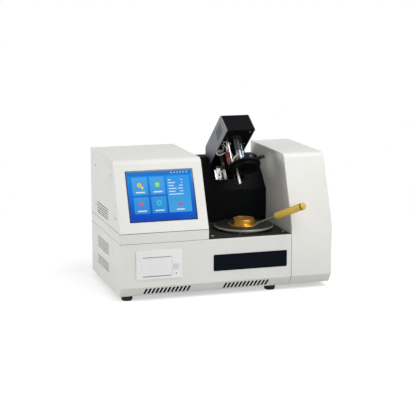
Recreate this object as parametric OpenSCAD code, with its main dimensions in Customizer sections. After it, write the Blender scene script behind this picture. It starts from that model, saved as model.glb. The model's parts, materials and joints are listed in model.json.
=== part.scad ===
// Automatic closed-cup flash point tester for the laboratory bench.
// A screen housing, a side pod and an open work bay stand on one lower housing.
// The lift arm carries the lid with its shutter, igniter, stirrer and probes.
// It is drawn raised, and lowers onto the test cup in the heating stove.

/* [Housing] */
// Width of the lower housing without the pod
base_w = 425; // [405:1:450]
// Width of the screen housing on the left
head_w = 216; // [208:1:226]
// Width of the pod on the right
pod_w = 105; // [92:1:125]
// Depth of the housing
depth = 308; // [304:1:330]
// Height of the lower housing
base_h = 128; // [122:1:140]
// Height of the plinth under the screen housing
plinth_h = 24; // [16:1:32]
// Height of the tall modules above the underside
tall_h = 315; // [305:1:335]
// How far the screen face leans back
head_run = 68; // [50:1:80]
// Height where the pod front starts to lean back
pod_fold_h = 146; // [120:1:170]
// How far the pod front leans back
pod_run = 64; // [50:1:80]
// How far the lower front chamfer goes back
chamfer_run = 16; // [10:1:24]
// How high the lower front chamfer is
chamfer_rise = 23; // [18:1:30]
// Radius of the fold between front and top
fold_r = 16; // [6:1:24]
// Thickness of the housing sheet
sheet = 1.5; // [1:0.1:2]
// Height of the rubber feet
foot_h = 12; // [8:1:16]
// Diameter of the rubber feet
foot_d = 28; // [20:1:36]

/* [Work bay] */
// Distance from the front to the bay wall
wall_y = 185; // [180:1:195]
// Height of the upright bay wall above the deck
wall_h = 82; // [70:1:90]
// Length that the wall slope goes back
slope_run = 74; // [66:1:78]
// Thickness of the black deck plate
deck_t = 2; // [1.5:0.1:3]

/* [Stove and cup] */
// Distance from the cup axis to the right side of the bay
cup_in = 88; // [85:1:95]
// Place of the cup behind the front
cup_y = 101; // [96:1:104]
// Diameter of the stove top disc
disc_d = 146; // [130:1:152]
// Thickness of the stove top disc
disc_t = 5; // [4:0.5:7]
// Height of the gap under the stove top disc
disc_gap = 5; // [3:0.5:8]
// Bore of the test cup
cup_bore = 50.8; // [50.6:0.1:51]
// Wall of the test cup
cup_wall = 1.6; // [1.2:0.1:2.2]
// Inner depth of the test cup
cup_depth = 56; // [54:0.5:58]
// Depth of the filling mark under the rim
fill_depth = 21.8; // [20:0.1:24]
// Diameter of the cup flange
flange_d = 79; // [76:0.5:82]
// Thickness of the cup flange
flange_t = 2.8; // [2.2:0.1:3.2]
// Height of the rim above the flange
rim_h = 12.7; // [12:0.1:14]
// Direction that the cup handle points to
handle_turn = -51; // [-56:0.5:-50]
// Angle at which the cup handle rises
handle_rise = 24; // [20:0.5:30]
// Bare length of the cup handle rod
rod_len = 60; // [50:1:70]
// Diameter of the cup handle rod where it starts
rod_d = 5; // [4:0.5:6]
// Length of the cup handle grip
grip_len = 86; // [70:1:90]
// Diameter of the cup handle grip
grip_d = 18; // [15:0.5:19]

/* [Lift arm] */
// Angle between the lowered and the raised arm
open_angle = 37; // [30:1:40]
// Height of the arm pivot above the bench
pivot_z = 236; // [234:1:238]
// Distance of the arm pivot from the housing back
pivot_back = 16; // [15:1:20]
// Width of the arm
arm_w = 74; // [70:1:80]
// Height of the arm body
arm_h = 56; // [50:1:60]
// Height of the arm underside above the bench when lowered
arm_z = 250; // [248:1:254]
// Distance from the arm front to the cup axis
arm_nose = 32; // [28:1:36]
// How far the arm front leans back
arm_lean = 24; // [16:1:28]
// Thickness of the arm side plates
side_t = 2; // [1.5:0.5:3]
// Thickness of the arm base plate
plate_t = 3; // [2:0.5:4]
// Diameter of the hinge shaft
hinge_d = 12; // [10:1:14]

/* [Lid] */
// Diameter of the lid plate
lid_d = 80; // [78:1:84]
// Thickness of the lid plate
lid_t = 4; // [3:0.5:5]
// Depth of the conical collar under the lid plate
collar_h = 8; // [6:0.5:9]
// Thickness of the shutter
shutter_t = 1.6; // [1:0.1:2]
// Angle that the shutter turns
shutter_swing = 40; // [39:0.5:41]
// Angle that the igniter lever drops
igniter_swing = 42; // [40:1:44]
// Diameter of the stirrer tube
tube_d = 17; // [15:1:18]
// Diameter of the stirrer shaft
stirrer_d = 4; // [3:0.5:5]
// Reach of the stirrer paddles from the shaft axis
paddle_r = 9.5; // [8:0.5:10]
// Length of the thermometer probe under the lid
probe_len = 43; // [38:1:45]

/* [Screen] */
// Width of the touch screen
screen_w = 165; // [150:1:175]
// Height of the touch screen along its slope
screen_h = 124; // [110:1:130]
// Distance from the housing side to the screen
screen_x = 27; // [20:1:32]
// Distance from the plinth to the screen along the slope
screen_up = 26; // [20:1:32]

/* [Printer] */
// Width of the printer bezel
printer_w = 112; // [106:1:120]
// Height of the printer bezel
printer_h = 68; // [64:1:72]
// Distance from the housing side to the bezel
printer_x = 37; // [30:1:46]
// Height of the bezel above the housing underside
printer_z = 42; // [40:1:46]
// Width of the paper door
door_w = 74; // [70:1:78]
// Height of the paper door
door_h = 45; // [42:1:48]
// Diameter of the paper roll
roll_d = 36; // [24:1:38]

/* [Hidden] */
$fn = 64;

// Heights above the bench
deck_z = foot_h + base_h;
plinth_z = deck_z + plinth_h;
tall_z = foot_h + tall_h;
fold_z = foot_h + pod_fold_h;
total_w = base_w + pod_w;

// Clearances
fit = 0.2;
seam = 0.8;
groove = 1.2;
running = 0.05;

// Outline of the lower housing, seen from the side
base_outline = [
    [chamfer_run, foot_h], [depth, foot_h], [depth, deck_z], [0, deck_z], [0, foot_h + chamfer_rise]
];

// Outline of the screen housing above its plinth
head_bottom = plinth_z + groove;
head_outline = concat(
    [[0, head_bottom], [depth, head_bottom], [depth, tall_z]],
    fillet([depth, tall_z], [head_run, tall_z], [0, head_bottom], fold_r)
);

// Outline of the pod
pod_outline = concat(
    [[chamfer_run, foot_h], [depth, foot_h], [depth, tall_z]],
    fillet([depth, tall_z], [pod_run, tall_z], [0, fold_z], fold_r),
    [[0, fold_z], [0, foot_h + chamfer_rise]]
);

// Outline of the black column behind the bay
slope_z = deck_z + wall_h;
column_top = slope_z + slope_run;
column_outline = [
    [wall_y, deck_z], [depth, deck_z], [depth, column_top], [wall_y + slope_run, column_top],
    [wall_y, slope_z]
];

// Screen face
face_len = norm([head_run, tall_z - head_bottom]);
face_tilt = atan2(tall_z - head_bottom, head_run);
panel_t = 11;
panel_lip = 5;

// Stove and cup
cup_x = base_w - cup_in;
disc_z = deck_z + disc_gap;
seat_z = disc_z + disc_t;
rim_z = seat_z + flange_t + rim_h;
cup_r = cup_bore / 2 + cup_wall;
cup_floor = 2.4;
cup_bottom = rim_z - cup_depth - cup_floor;
well_r = cup_r + 2;
well_wall = 16;
well_floor = 6;
well_z = cup_bottom - 1 - well_floor;
band_t = 3;
can_r = well_r + well_wall + band_t + 8;
can_hole_r = can_r + 1;
can_flange = 3;
disc_hole_r = cup_r + 1;

// Conical collar of the lid, which centres itself on the cup
collar_top_r = cup_r + 0.8;
collar_low_r = collar_top_r + 0.5 * collar_h;
collar_r_max = collar_low_r + 1.4;

// Cup handle, from the clip on the flange outwards
clip_w = 12;
clip_t = 2.5;
clip_r = collar_r_max + 1.3;
rod_r0 = flange_d / 2 - 1.5;
rod_z0 = seat_z + flange_t + rod_d / 2 + 0.6;
grip_round = 4;

// Arm, in its lowered place
pivot_y = depth - pivot_back;
arm_front = cup_y - arm_nose;
arm_top = arm_z + arm_h;
arm_x0 = cup_x - arm_w / 2;
arm_x1 = cup_x + arm_w / 2;
arm_tail = pivot_y - 42;
ear_r = hinge_d / 2 + 7;
arm_outline = [
    [arm_front, arm_z], [pivot_y - 34, arm_z], [pivot_y - 9, pivot_z - 9], [pivot_y + 9, pivot_z + 9],
    [arm_tail, arm_top], [arm_front + arm_lean, arm_top]
];

// Lid, in its lowered place
lid_z = rim_z + 0.3;
lid_top = lid_z + lid_t;
lid_r = lid_d / 2;

// Axis of the stirrer and the shutter, behind and left of the cup axis
mech_x = cup_x - 4;
mech_y = cup_y + 6;
boss_r = 6;
boss_h = shutter_t + 1.2;
tube_z = lid_top + boss_h;
hub_r = boss_r + 3.5;
port_in = hub_r + 3;
port_out = port_in + 11;
sector_r = port_out + 1.5;
port_a = 19;
port_b = 6;
port_b_at = -160;
port_c_at = -22;

// Igniter lever, pivoting left of the large port
igniter_reach = 26;
igniter_drop = 12;
igniter_y = mech_y - (port_in + port_out) / 2;
igniter_x = mech_x - 4 - igniter_reach;
igniter_z = lid_top + 6.5;
igniter_pin = 2.4;

// Shutter grip
grip_at = -33;
knob_d = 9;
knob_len = 32;
knob_from = 29;

// Column slot for the arm
slot_gap = 5;
slot_y = wall_y + 24;
slot_z = slope_z - 12;

// Printer, with its place measured from the bezel corner
bezel_rim = 4;
bezel_t = 2;
bezel_back = sheet + 1.2;
printer_z0 = foot_h + printer_z;
bezel_side = 14;
bezel_foot = 7;
opening_x = printer_x + bezel_side;
opening_z = printer_z0 + bezel_foot;
door_gap = 0.4;
door_t = 2.4;
hinge_up = 2.3;
hinge_y = -0.4;
door_hinge_z = opening_z + hinge_up;
door_pin_r = 0.8;
door_pin_out = 2;
platen_r = 4.5;
platen_y = 7;
platen_up = 30;
platen_z = door_hinge_z + platen_up;
journal_r = 1.5;
body_wall = 2;
body_deep = bezel_back + platen_y + platen_r + roll_d + 3 * body_wall;
button_r = 5.5;
button_in = 14.5;
button_x = printer_x + printer_w - button_in;
button_z = printer_z0 + 0.4 * printer_h;
led_r = 1.5;
led_z = printer_z0 + 0.16 * printer_h;

// Connectors and fan at the back
inlet_x = 60;
rear_z = foot_h + 40;
rocker_x = inlet_x + 34;
port_x = 165;
earth_x = 205;
fan_x = 320;
fan_z = foot_h + 66;
fan_size = 60;
fan_bore = 56;
fan_deep = 15;
panel_y = depth - sheet;
rear_proud = 2;

// Return flange around the openings in the sheet covers, and how far a cut runs past its sheet
flange_w = 10;
past = 10;

// Cable way between the lower housing and the pod
way_y = 200;
way_len = 60;
way_up = 30;
way_h = 40;

function unit(v) = v / norm(v);

// Points of an arc that rounds corner b between a and c
function fillet(a, b, c, r, steps = 8) =
    let (
        u = unit(a - b),
        v = unit(c - b),
        half = acos(u * v) / 2,
        centre = b + unit(u + v) * r / sin(half),
        from = (b + u * r / tan(half) - centre) / r,
        to = (b + v * r / tan(half) - centre) / r,
        turn = acos(from * to)
    )
    [for (i = [0:steps]) centre + r * (sin((1 - i / steps) * turn) * from + sin(i / steps * turn) * to) / sin(turn)];

// Outline moved inwards by w, for an outline that runs anticlockwise
function inset(p, w) =
    [for (i = [0:len(p) - 1])
        let (
            a = p[(i + len(p) - 1) % len(p)],
            b = p[i],
            c = p[(i + 1) % len(p)],
            m = unit([a[1] - b[1], b[0] - a[0]]),
            n = unit([b[1] - c[1], c[0] - b[0]])
        )
        b + w * (m + n) / (1 + m * n)];

// Points of a rectangle with round corners, around the origin
function round_rect(w, h, r, steps = 4) =
    [for (q = [0:3], i = [0:steps])
        let (
            sx = (q == 0 || q == 3) ? 1 : -1,
            sy = q < 2 ? 1 : -1,
            a = q * 90 + i * 90 / steps
        )
        [sx * (w / 2 - r) + r * cos(a), sy * (h / 2 - r) + r * sin(a)]];

// A side outline drawn through the housing from x0 to x1
module across(x0, x1) {
    translate([x0, 0, 0])
        rotate([90, 0, 90])
            linear_extrude(x1 - x0)
                children();
}

// An upright front outline drawn from y0 to y1
module inward(y0, y1) {
    translate([0, y1, 0])
        rotate([90, 0, 0])
            linear_extrude(y1 - y0)
                children();
}

// The whole object's frame: centred under the middle of its outline
handle_lead = cos(handle_rise) * sin(handle_turn);
front_y = cup_y + rod_r0 * sin(handle_turn) + (rod_len + grip_len - grip_round) * handle_lead
    - (grip_d / 2 - grip_round) * sqrt(1 - handle_lead * handle_lead) - grip_round;

module in_frame() {
    translate([-total_w / 2, -(front_y + depth + rear_proud) / 2, 0])
        children();
}

// The arm parts are drawn lowered and shown raised about the pivot
module raised() {
    translate([0, pivot_y, pivot_z])
        rotate([-open_angle, 0, 0])
            translate([0, -pivot_y, -pivot_z])
                children();
}

module on_face() {
    translate([0, 0, head_bottom])
        rotate([face_tilt, 0, 0])
            children();
}

slot_w = 3.4;
slot_pitch = 9.6;
slot_lean = 14;
slot_len = 17;
slot_count = 12;
slots_left = 62;
slots_right = 166;

// Slanted slots in the lower front chamfer
module chamfer_slots(x0) {
    translate([0, chamfer_run, foot_h])
        rotate([atan2(chamfer_rise, -chamfer_run), 0, 0])
            for (i = [0:slot_count - 1])
                translate([x0 + i * slot_pitch, norm([chamfer_run, chamfer_rise]) / 2, 0])
                    rotate([0, 0, -slot_lean])
                        cube([slot_w, slot_len, 3 * sheet], center = true);
}

louvre_h = 2.4;
louvre_pitch = 6;
louvre_y0 = 120;
louvre_y1 = 237;

// Narrow level slots through the left wall
module side_slots(z0, rows) {
    for (i = [0:rows - 1])
        translate([-1, louvre_y0, z0 + i * louvre_pitch])
            cube([sheet + 2, louvre_y1 - louvre_y0, louvre_h]);
}

// The opening for cables in the walls that face each other at the pod
module pod_way() {
    translate([base_w - 2 * sheet, way_y, foot_h + way_up])
        cube([4 * sheet + seam, way_len, way_h]);
}

module base_shell() {
    color([0.86, 0.86, 0.84])
        difference() {
            across(0, base_w)
                polygon(base_outline);
            // Room inside, open to the back
            intersection() {
                across(sheet, base_w - sheet)
                    polygon(inset(base_outline, sheet));
                translate([0, 0, foot_h])
                    cube([base_w, depth - 2 * sheet, base_h - sheet - deck_t]);
            }
            translate([sheet, depth - flange_w, foot_h + sheet])
                cube([base_w - 2 * sheet, flange_w + 1, base_h - 2 * sheet - deck_t]);
            // Underside, closed by the bottom plate
            translate([flange_w, chamfer_run + flange_w, foot_h - 1])
                cube([base_w - 2 * flange_w, depth - chamfer_run - 2 * flange_w, sheet + 2]);
            // Cable way up into the screen housing
            translate([2 * flange_w, 6 * flange_w, deck_z - past])
                cube([head_w - 4 * flange_w, depth - 9 * flange_w, 2 * past]);
            // Recess for the deck plate
            translate([head_w, sheet, deck_z - deck_t])
                cube([base_w - head_w + 1, wall_y - sheet, deck_t + 1]);
            // Hole for the stove
            translate([cup_x, cup_y, deck_z - past])
                cylinder(r = can_hole_r, h = 2 * past);
            // Cable ways up into the column and into the pod
            translate([head_w + flange_w, wall_y + 2 * flange_w, deck_z - past])
                cube([way_h, way_len, 2 * past]);
            pod_way();
            // Printer cut-out
            translate([printer_x + bezel_rim, -1, printer_z0 + bezel_rim])
                cube([printer_w - 2 * bezel_rim, sheet + 2, printer_h - 2 * bezel_rim]);
            chamfer_slots(slots_left);
            chamfer_slots(base_w - slots_right);
            side_slots(foot_h + 6 * louvre_pitch, 4);
            side_slots(foot_h + 13 * louvre_pitch, 5);
        }
}

module bottom_plates() {
    gap = 4;
    color([0.6, 0.6, 0.6])
        for (span = [[sheet, base_w - sheet], [base_w + seam + sheet, total_w - sheet]])
            translate([span[0], chamfer_run + gap, foot_h + sheet])
                cube([span[1] - span[0], depth - chamfer_run - gap - 2 * sheet, sheet]);
}

foot_in = 22;
foot_back = 23;

module at_feet() {
    for (x = [foot_in, base_w - 2 * foot_in], y = [chamfer_run + 16, depth - foot_back])
        translate([x, y, 0])
            children();
}

module rubber_feet() {
    hole = 3;
    sink = 4;
    color([0.08, 0.08, 0.08])
        at_feet()
            rotate_extrude()
                polygon([
                    [sink, 0], [foot_d / 2 - 2.5, 0], [foot_d / 2 - 1, 1.5], [foot_d / 2, foot_h],
                    [hole, foot_h], [hole, sink], [sink, sink]
                ]);
}

module base_rear_panel() {
    color([0.8, 0.8, 0.78])
        difference() {
            translate([sheet + fit, depth - 2 * sheet, foot_h + 2 * sheet + fit])
                cube([base_w - 2 * sheet - 2 * fit, sheet, base_h - 4 * sheet - deck_t - 2 * fit]);
            rear_cut(inlet_x, inlet_w + 2 * fit, inlet_h + 2 * fit);
            rear_cut(rocker_x, rocker_w + 4 + 2 * fit, inlet_h + 4 + 2 * fit);
            rear_cut(port_x, port_w + 2 * fit, port_h + 2 * fit);
            translate([earth_x, depth + 1, rear_z])
                rotate([90, 0, 0])
                    cylinder(r = earth_r + fit / 2, h = past);
            translate([fan_x, depth + 1, fan_z])
                rotate([90, 0, 0])
                    cylinder(d = fan_bore, h = past);
        }
}

inlet_w = 28;
inlet_h = 20;
rocker_w = 12;
port_w = 18;
port_h = 9;
earth_r = 3;

// A rectangular cut through the back panel at connector height
module rear_cut(x, w, h) {
    translate([x - w / 2, depth - past, rear_z - h / 2])
        cube([w, 2 * past, h]);
}

plinth_wall = 6;

// A box without top and bottom, under the screen housing
module plinth_ring(z0, z1, set_back) {
    difference() {
        translate([set_back, set_back, z0])
            cube([head_w - 2 * set_back, depth - 2 * set_back, z1 - z0]);
        translate([plinth_wall, plinth_wall, z0 - 1])
            cube([head_w - 2 * plinth_wall, depth - 2 * plinth_wall, z1 - z0 + 2]);
    }
}

module head_plinth() {
    color([0.86, 0.86, 0.84]) {
        plinth_ring(deck_z, deck_z + seam, 2);
        plinth_ring(deck_z + seam, plinth_z, 0);
        plinth_ring(plinth_z, head_bottom, 3);
    }
}

module head_cover() {
    color([0.88, 0.88, 0.87])
        difference() {
            across(0, head_w)
                polygon(head_outline);
            across(sheet, head_w - sheet)
                polygon(inset(head_outline, sheet));
            translate([flange_w, flange_w, head_bottom - 1])
                cube([head_w - 2 * flange_w, depth - 2 * flange_w, sheet + 2]);
            translate([sheet, depth - 2 * sheet, head_bottom + sheet])
                cube([head_w - 2 * sheet, 3 * sheet, tall_z - head_bottom - 2 * sheet]);
            on_face()
                translate([screen_x - fit, screen_up - fit, -3 * sheet])
                    cube([screen_w + 2 * fit, screen_h + 2 * fit, 5 * sheet]);
            side_slots(plinth_z + 2 * louvre_pitch, 5);
        }
}

vent_in = 18;
vent_h = 3;
vent_pitch = 8;
vent_down = 30;

// A flat back panel with rows of vent slots
module vented_panel(x0, x1, z0, z1) {
    difference() {
        translate([x0 + fit, panel_y - sheet, z0 + fit])
            cube([x1 - x0 - 2 * fit, sheet, z1 - z0 - 2 * fit]);
        for (i = [0:5])
            translate([x0 + vent_in, panel_y - 2 * sheet, z1 - vent_down - i * vent_pitch])
                cube([x1 - x0 - 2 * vent_in, 3 * sheet, vent_h]);
    }
}

module head_rear_panel() {
    color([0.84, 0.84, 0.82])
        vented_panel(sheet, head_w - sheet, head_bottom + sheet, tall_z - sheet);
}

module pod_cover() {
    x0 = base_w + seam;
    color([0.9, 0.9, 0.89])
        difference() {
            across(x0, total_w)
                polygon(pod_outline);
            across(x0 + sheet, total_w - sheet)
                polygon(inset(pod_outline, sheet));
            translate([x0 + flange_w, chamfer_run + flange_w, foot_h - 1])
                cube([pod_w - seam - 2 * flange_w, depth - chamfer_run - 2 * flange_w, sheet + 2]);
            translate([x0 + sheet, depth - 2 * sheet, foot_h + sheet])
                cube([pod_w - seam - 2 * sheet, 3 * sheet, tall_h - 2 * sheet]);
            pod_way();
        }
}

module pod_rear_panel() {
    color([0.84, 0.84, 0.82])
        vented_panel(base_w + seam + sheet, total_w - sheet, foot_h + 2 * sheet, tall_z - sheet);
}

module deck_plate() {
    color([0.07, 0.07, 0.07])
        difference() {
            translate([head_w + fit, sheet + fit, deck_z - deck_t])
                cube([base_w - head_w - fit, wall_y - sheet - 2 * fit, deck_t]);
            translate([cup_x, cup_y, deck_z - deck_t - 1])
                cylinder(r = can_hole_r, h = deck_t + 2);
        }
}

module column_cover() {
    color([0.05, 0.055, 0.06])
        difference() {
            across(head_w + fit, base_w)
                polygon(column_outline);
            across(head_w + fit + sheet, base_w - sheet)
                polygon(inset(column_outline, sheet));
            translate([head_w + flange_w, wall_y + flange_w, deck_z - 1])
                cube([base_w - head_w - 2 * flange_w, depth - wall_y - 2 * flange_w, sheet + 2]);
            // Slot that the arm swings in
            translate([arm_x0 - slot_gap, slot_y, slot_z])
                cube([arm_w + 2 * slot_gap, depth - sheet - slot_y, column_top - slot_z + 1]);
        }
}

// Low round screw heads with a cross slot, drawn pointing up
module screw_head(d, h) {
    difference() {
        cylinder(d1 = d, d2 = 0.7 * d, h = h);
        for (a = [0, 90])
            rotate([0, 0, a])
                translate([-0.25 * d, -0.08 * d, 0.5 * h])
                    cube([0.5 * d, 0.16 * d, h]);
    }
}

screw_d = 7;
screw_h = 1.2;
cover_screw_down = 36;
cover_screw_apart = 96;
cover_screw_in = 33;
cover_screw_back = 58;
deck_screw_in = 7;
deck_screw_y = 38;

module cover_screws() {
    color([0.75, 0.75, 0.75]) {
        for (z = [tall_z - cover_screw_down, tall_z - cover_screw_down - cover_screw_apart]) {
            front = head_run * (z - head_bottom) / (tall_z - head_bottom);
            for (y = [front + cover_screw_in, depth - cover_screw_back]) {
                translate([0, y, z])
                    rotate([0, -90, 0])
                        screw_head(screw_d, screw_h);
                translate([total_w, y, z])
                    rotate([0, 90, 0])
                        screw_head(screw_d, screw_h);
            }
        }
        for (x = [head_w + 3 * deck_screw_in, base_w - deck_screw_in])
            for (y = [deck_screw_y, wall_y - 2 * deck_screw_in])
                translate([x, y, deck_z])
                    screw_head(screw_d, screw_h);
    }
}

glass_t = 1.2;

module touch_glass() {
    color([0.05, 0.3, 0.75])
        on_face()
            translate([screen_x, screen_up, -sheet])
                cube([screen_w, screen_h, glass_t]);
}

module display_module() {
    color([0.2, 0.2, 0.22])
        on_face()
            translate([screen_x - panel_lip, screen_up - panel_lip, -sheet - panel_t])
                cube([screen_w + 2 * panel_lip, screen_h + 2 * panel_lip, panel_t]);
}

// Controller board on four spacers behind the display, with plug rows and one large chip
module main_board() {
    board_in = 6;
    board_w = screen_w - 2 * board_in;
    board_h = screen_h - 2 * board_in;
    board_t = 1.6;
    spacer_d = 5;
    gap = 8;
    plug_w = 20;
    plug_h = 9;
    chip_w = 28;
    chip_h = 3;
    top = -sheet - panel_t;
    on_face()
        translate([screen_x + board_in, screen_up + board_in, top - gap - board_t]) {
            color([0.1, 0.4, 0.2])
                cube([board_w, board_h, board_t]);
            for (x = [board_in, board_w - board_in], y = [board_in, board_h - board_in])
                translate([x, y, board_t])
                    cylinder(d = spacer_d, h = gap);
            for (i = [0:3])
                translate([plug_w + i * 1.6 * plug_w, 2 * board_in, -plug_h])
                    cube([plug_w, plug_w / 2, plug_h]);
            translate([(board_w - chip_w) / 2, (board_h - chip_w) / 2, -chip_h])
                cube([chip_w, chip_w, chip_h]);
        }
}

plate_w = 186;
plate_h = 40;
plate_in = 11.5;
plate_up = 50;
plate_proud = 0.8;
plate_round = 3;

module nameplate() {
    color([0.06, 0.08, 0.11])
        inward(-plate_proud, 0)
            translate([base_w - plate_in - plate_w / 2, foot_h + plate_up + plate_h / 2])
                polygon(round_rect(plate_w, plate_h, plate_round));
}

module printer_bezel() {
    color([0.9, 0.89, 0.89])
        difference() {
            union() {
                inward(-bezel_t, 0)
                    translate([printer_x + printer_w / 2, printer_z0 + printer_h / 2])
                        polygon(round_rect(printer_w, printer_h, 2));
                translate([printer_x + bezel_rim + fit, 0, printer_z0 + bezel_rim + fit])
                    cube([
                        printer_w - 2 * bezel_rim - 2 * fit, bezel_back,
                        printer_h - 2 * bezel_rim - 2 * fit
                    ]);
            }
            translate([opening_x, -bezel_t - 1, opening_z])
                cube([door_w, bezel_back + bezel_t + 2, door_h]);
            translate([opening_x - door_pin_out - 2 * fit, hinge_y, door_hinge_z])
                rotate([0, 90, 0])
                    cylinder(r = door_pin_r + running, h = door_w + 2 * door_pin_out + 4 * fit);
            translate([button_x, -bezel_t - 1, button_z])
                rotate([-90, 0, 0])
                    cylinder(r = button_r + fit, h = past);
            translate([button_x, -bezel_t - 1, led_z])
                rotate([-90, 0, 0])
                    cylinder(r = led_r, h = past);
        }
}

module printer_led() {
    color([0.1, 0.1, 0.1])
        translate([button_x, -bezel_t - 0.4, led_z])
            rotate([-90, 0, 0])
                cylinder(r = led_r, h = bezel_t + bezel_back);
}

lug_in = 2;
lug_t = 2;

module printer_door() {
    below = 1.5;
    lug_h = 8;
    notch_w = 16;
    color([0.9, 0.89, 0.89])
        difference() {
            union() {
                translate([opening_x + door_gap, hinge_y - door_t / 2, door_hinge_z - below])
                    cube([door_w - 2 * door_gap, door_t, door_h - hinge_up + below - door_gap]);
                translate([opening_x - door_pin_out, hinge_y, door_hinge_z])
                    rotate([0, 90, 0])
                        cylinder(r = door_pin_r, h = door_w + 2 * door_pin_out);
                for (x = [opening_x + lug_in, opening_x + door_w - lug_in - lug_t])
                    translate([x, hinge_y, platen_z - lug_h / 2])
                        cube([lug_t, platen_y - hinge_y + 2 * journal_r, lug_h]);
            }
            translate([opening_x, platen_y, platen_z])
                rotate([0, 90, 0])
                    cylinder(r = journal_r + running, h = door_w);
            // Finger notch at the top edge
            translate([opening_x + (door_w - notch_w) / 2, hinge_y - 2 * door_t, opening_z + door_h - 2.5])
                cube([notch_w, 2 * door_t - 0.8, 5]);
        }
}

module platen_roller() {
    journal_len = door_w - 2 * lug_in - 2 * fit;
    roller_in = lug_t + fit;
    color([0.1, 0.1, 0.1])
        translate([opening_x + lug_in + fit, platen_y, platen_z])
            rotate([0, 90, 0]) {
                cylinder(r = journal_r, h = journal_len);
                translate([0, 0, roller_in])
                    cylinder(r = platen_r, h = journal_len - 2 * roller_in);
            }
}

module printer_body() {
    color([0.25, 0.25, 0.26])
        difference() {
            translate([opening_x - body_wall, bezel_back, opening_z - body_wall])
                cube([door_w + 2 * body_wall, body_deep - bezel_back, door_h + 2 * body_wall]);
            translate([opening_x, bezel_back - 1, opening_z])
                cube([door_w, body_deep - bezel_back - body_wall + 1, door_h]);
        }
}

module paper_roll() {
    roll_in = 8;
    roll_len = door_w - 2 * roll_in;
    core_d = 12;
    roll_y = body_deep - body_wall - roll_d / 2 - 2 * fit;
    color([0.95, 0.95, 0.93])
        translate([opening_x + roll_in, roll_y, opening_z + roll_d / 2 + fit])
            rotate([0, 90, 0])
                difference() {
                    cylinder(d = roll_d, h = roll_len);
                    translate([0, 0, -1])
                        cylinder(d = core_d, h = roll_len + 2);
                }
}

module feed_button() {
    proud = 1;
    collar_t = 1;
    color([0.88, 0.87, 0.87])
        translate([button_x, 0, button_z])
            rotate([-90, 0, 0]) {
                translate([0, 0, -bezel_t - proud])
                    cylinder(r = button_r, h = bezel_t + proud + bezel_back + fit + collar_t);
                translate([0, 0, bezel_back + fit])
                    cylinder(r = button_r + 1.5, h = collar_t);
            }
}

// Power supply box with cooling grooves, on the bottom plate of the pod
module power_supply() {
    supply_w = 80;
    supply_len = 170;
    supply_h = 60;
    supply_y = 90;
    vent_len = 56;
    vent_deep = 3;
    x0 = base_w + seam + (pod_w - seam - supply_w) / 2;
    z0 = foot_h + 2 * sheet;
    color([0.7, 0.7, 0.72])
        difference() {
            translate([x0, supply_y, z0])
                cube([supply_w, supply_len, supply_h]);
            for (i = [1:10])
                translate([x0 + (supply_w - vent_len) / 2, supply_y + i * supply_len / 11, z0 + supply_h - vent_deep])
                    cube([vent_len, 5, vent_deep + 1]);
        }
}

rocker_reach = 10.6;
rocker_pin_r = 1.2;
rocker_pin_out = 1.2;
rocker_y = panel_y - 4;
rocker_rest = 10;

// Mains inlet and switch frame in one moulding
module inlet_socket() {
    rim_t = 2;
    rim_w = 4;
    ear_w = 9;
    deep = 24;
    wall = 2;
    blade_w = 2;
    blade_h = 4;
    blade_len = 14;
    cavity_w = inlet_w - 2 * wall + 2 * fit;
    cavity_h = inlet_h - 2 * wall + 2 * fit;
    cavity_deep = 16;
    blade_x = 7;
    color([0.08, 0.08, 0.08])
        difference() {
            union() {
                translate([inlet_x - inlet_w / 2 - ear_w, panel_y, rear_z - inlet_h / 2 - rim_w])
                    cube([
                        rocker_x - inlet_x + inlet_w / 2 + rocker_w / 2 + ear_w + rim_w, rim_t,
                        inlet_h + 2 * rim_w
                    ]);
                translate([inlet_x - inlet_w / 2, panel_y - deep, rear_z - inlet_h / 2])
                    cube([inlet_w, deep, inlet_h]);
                translate([rocker_x - rocker_w / 2 - wall, panel_y - deep, rear_z - inlet_h / 2 - wall])
                    cube([rocker_w + 2 * wall, deep, inlet_h + 2 * wall]);
            }
            translate([inlet_x - cavity_w / 2, panel_y - cavity_deep, rear_z - cavity_h / 2])
                cube([cavity_w, cavity_deep + past, cavity_h]);
            translate([rocker_x - rocker_w / 2, panel_y - cavity_deep - wall, rear_z - rocker_reach - 2 * fit])
                cube([rocker_w, cavity_deep + past, 2 * rocker_reach + 4 * fit]);
            translate([rocker_x - rocker_w / 2 - rocker_pin_out - fit, rocker_y, rear_z])
                rotate([0, 90, 0])
                    cylinder(r = rocker_pin_r + running, h = rocker_w + 2 * rocker_pin_out + 2 * fit);
        }
    color([0.8, 0.75, 0.5])
        for (pin = [[-blade_x, -2.5], [blade_x, -2.5], [0, 3.5]])
            translate([
                inlet_x + pin[0] - blade_w / 2, panel_y - cavity_deep - 1, rear_z + pin[1] - blade_h / 2
            ])
                cube([blade_w, blade_len, blade_h]);
}

module power_rocker() {
    w = rocker_w - 2 * fit;
    tip = 9.5;
    heel = 5;
    thick = 3;
    color([0.1, 0.1, 0.1])
        translate([rocker_x, rocker_y, rear_z])
            rotate([rocker_rest, 0, 0]) {
                translate([-w / 2, 0, 0])
                    rotate([90, 0, 90])
                        linear_extrude(w)
                            polygon([
                                [-thick, -heel], [thick - 1, -tip], [thick + 1, -tip], [thick, 0],
                                [thick + 1, tip], [thick - 1, tip], [-thick, heel]
                            ]);
                translate([-rocker_w / 2 - rocker_pin_out, 0, 0])
                    rotate([0, 90, 0])
                        cylinder(r = rocker_pin_r, h = rocker_w + 2 * rocker_pin_out);
            }
}

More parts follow.
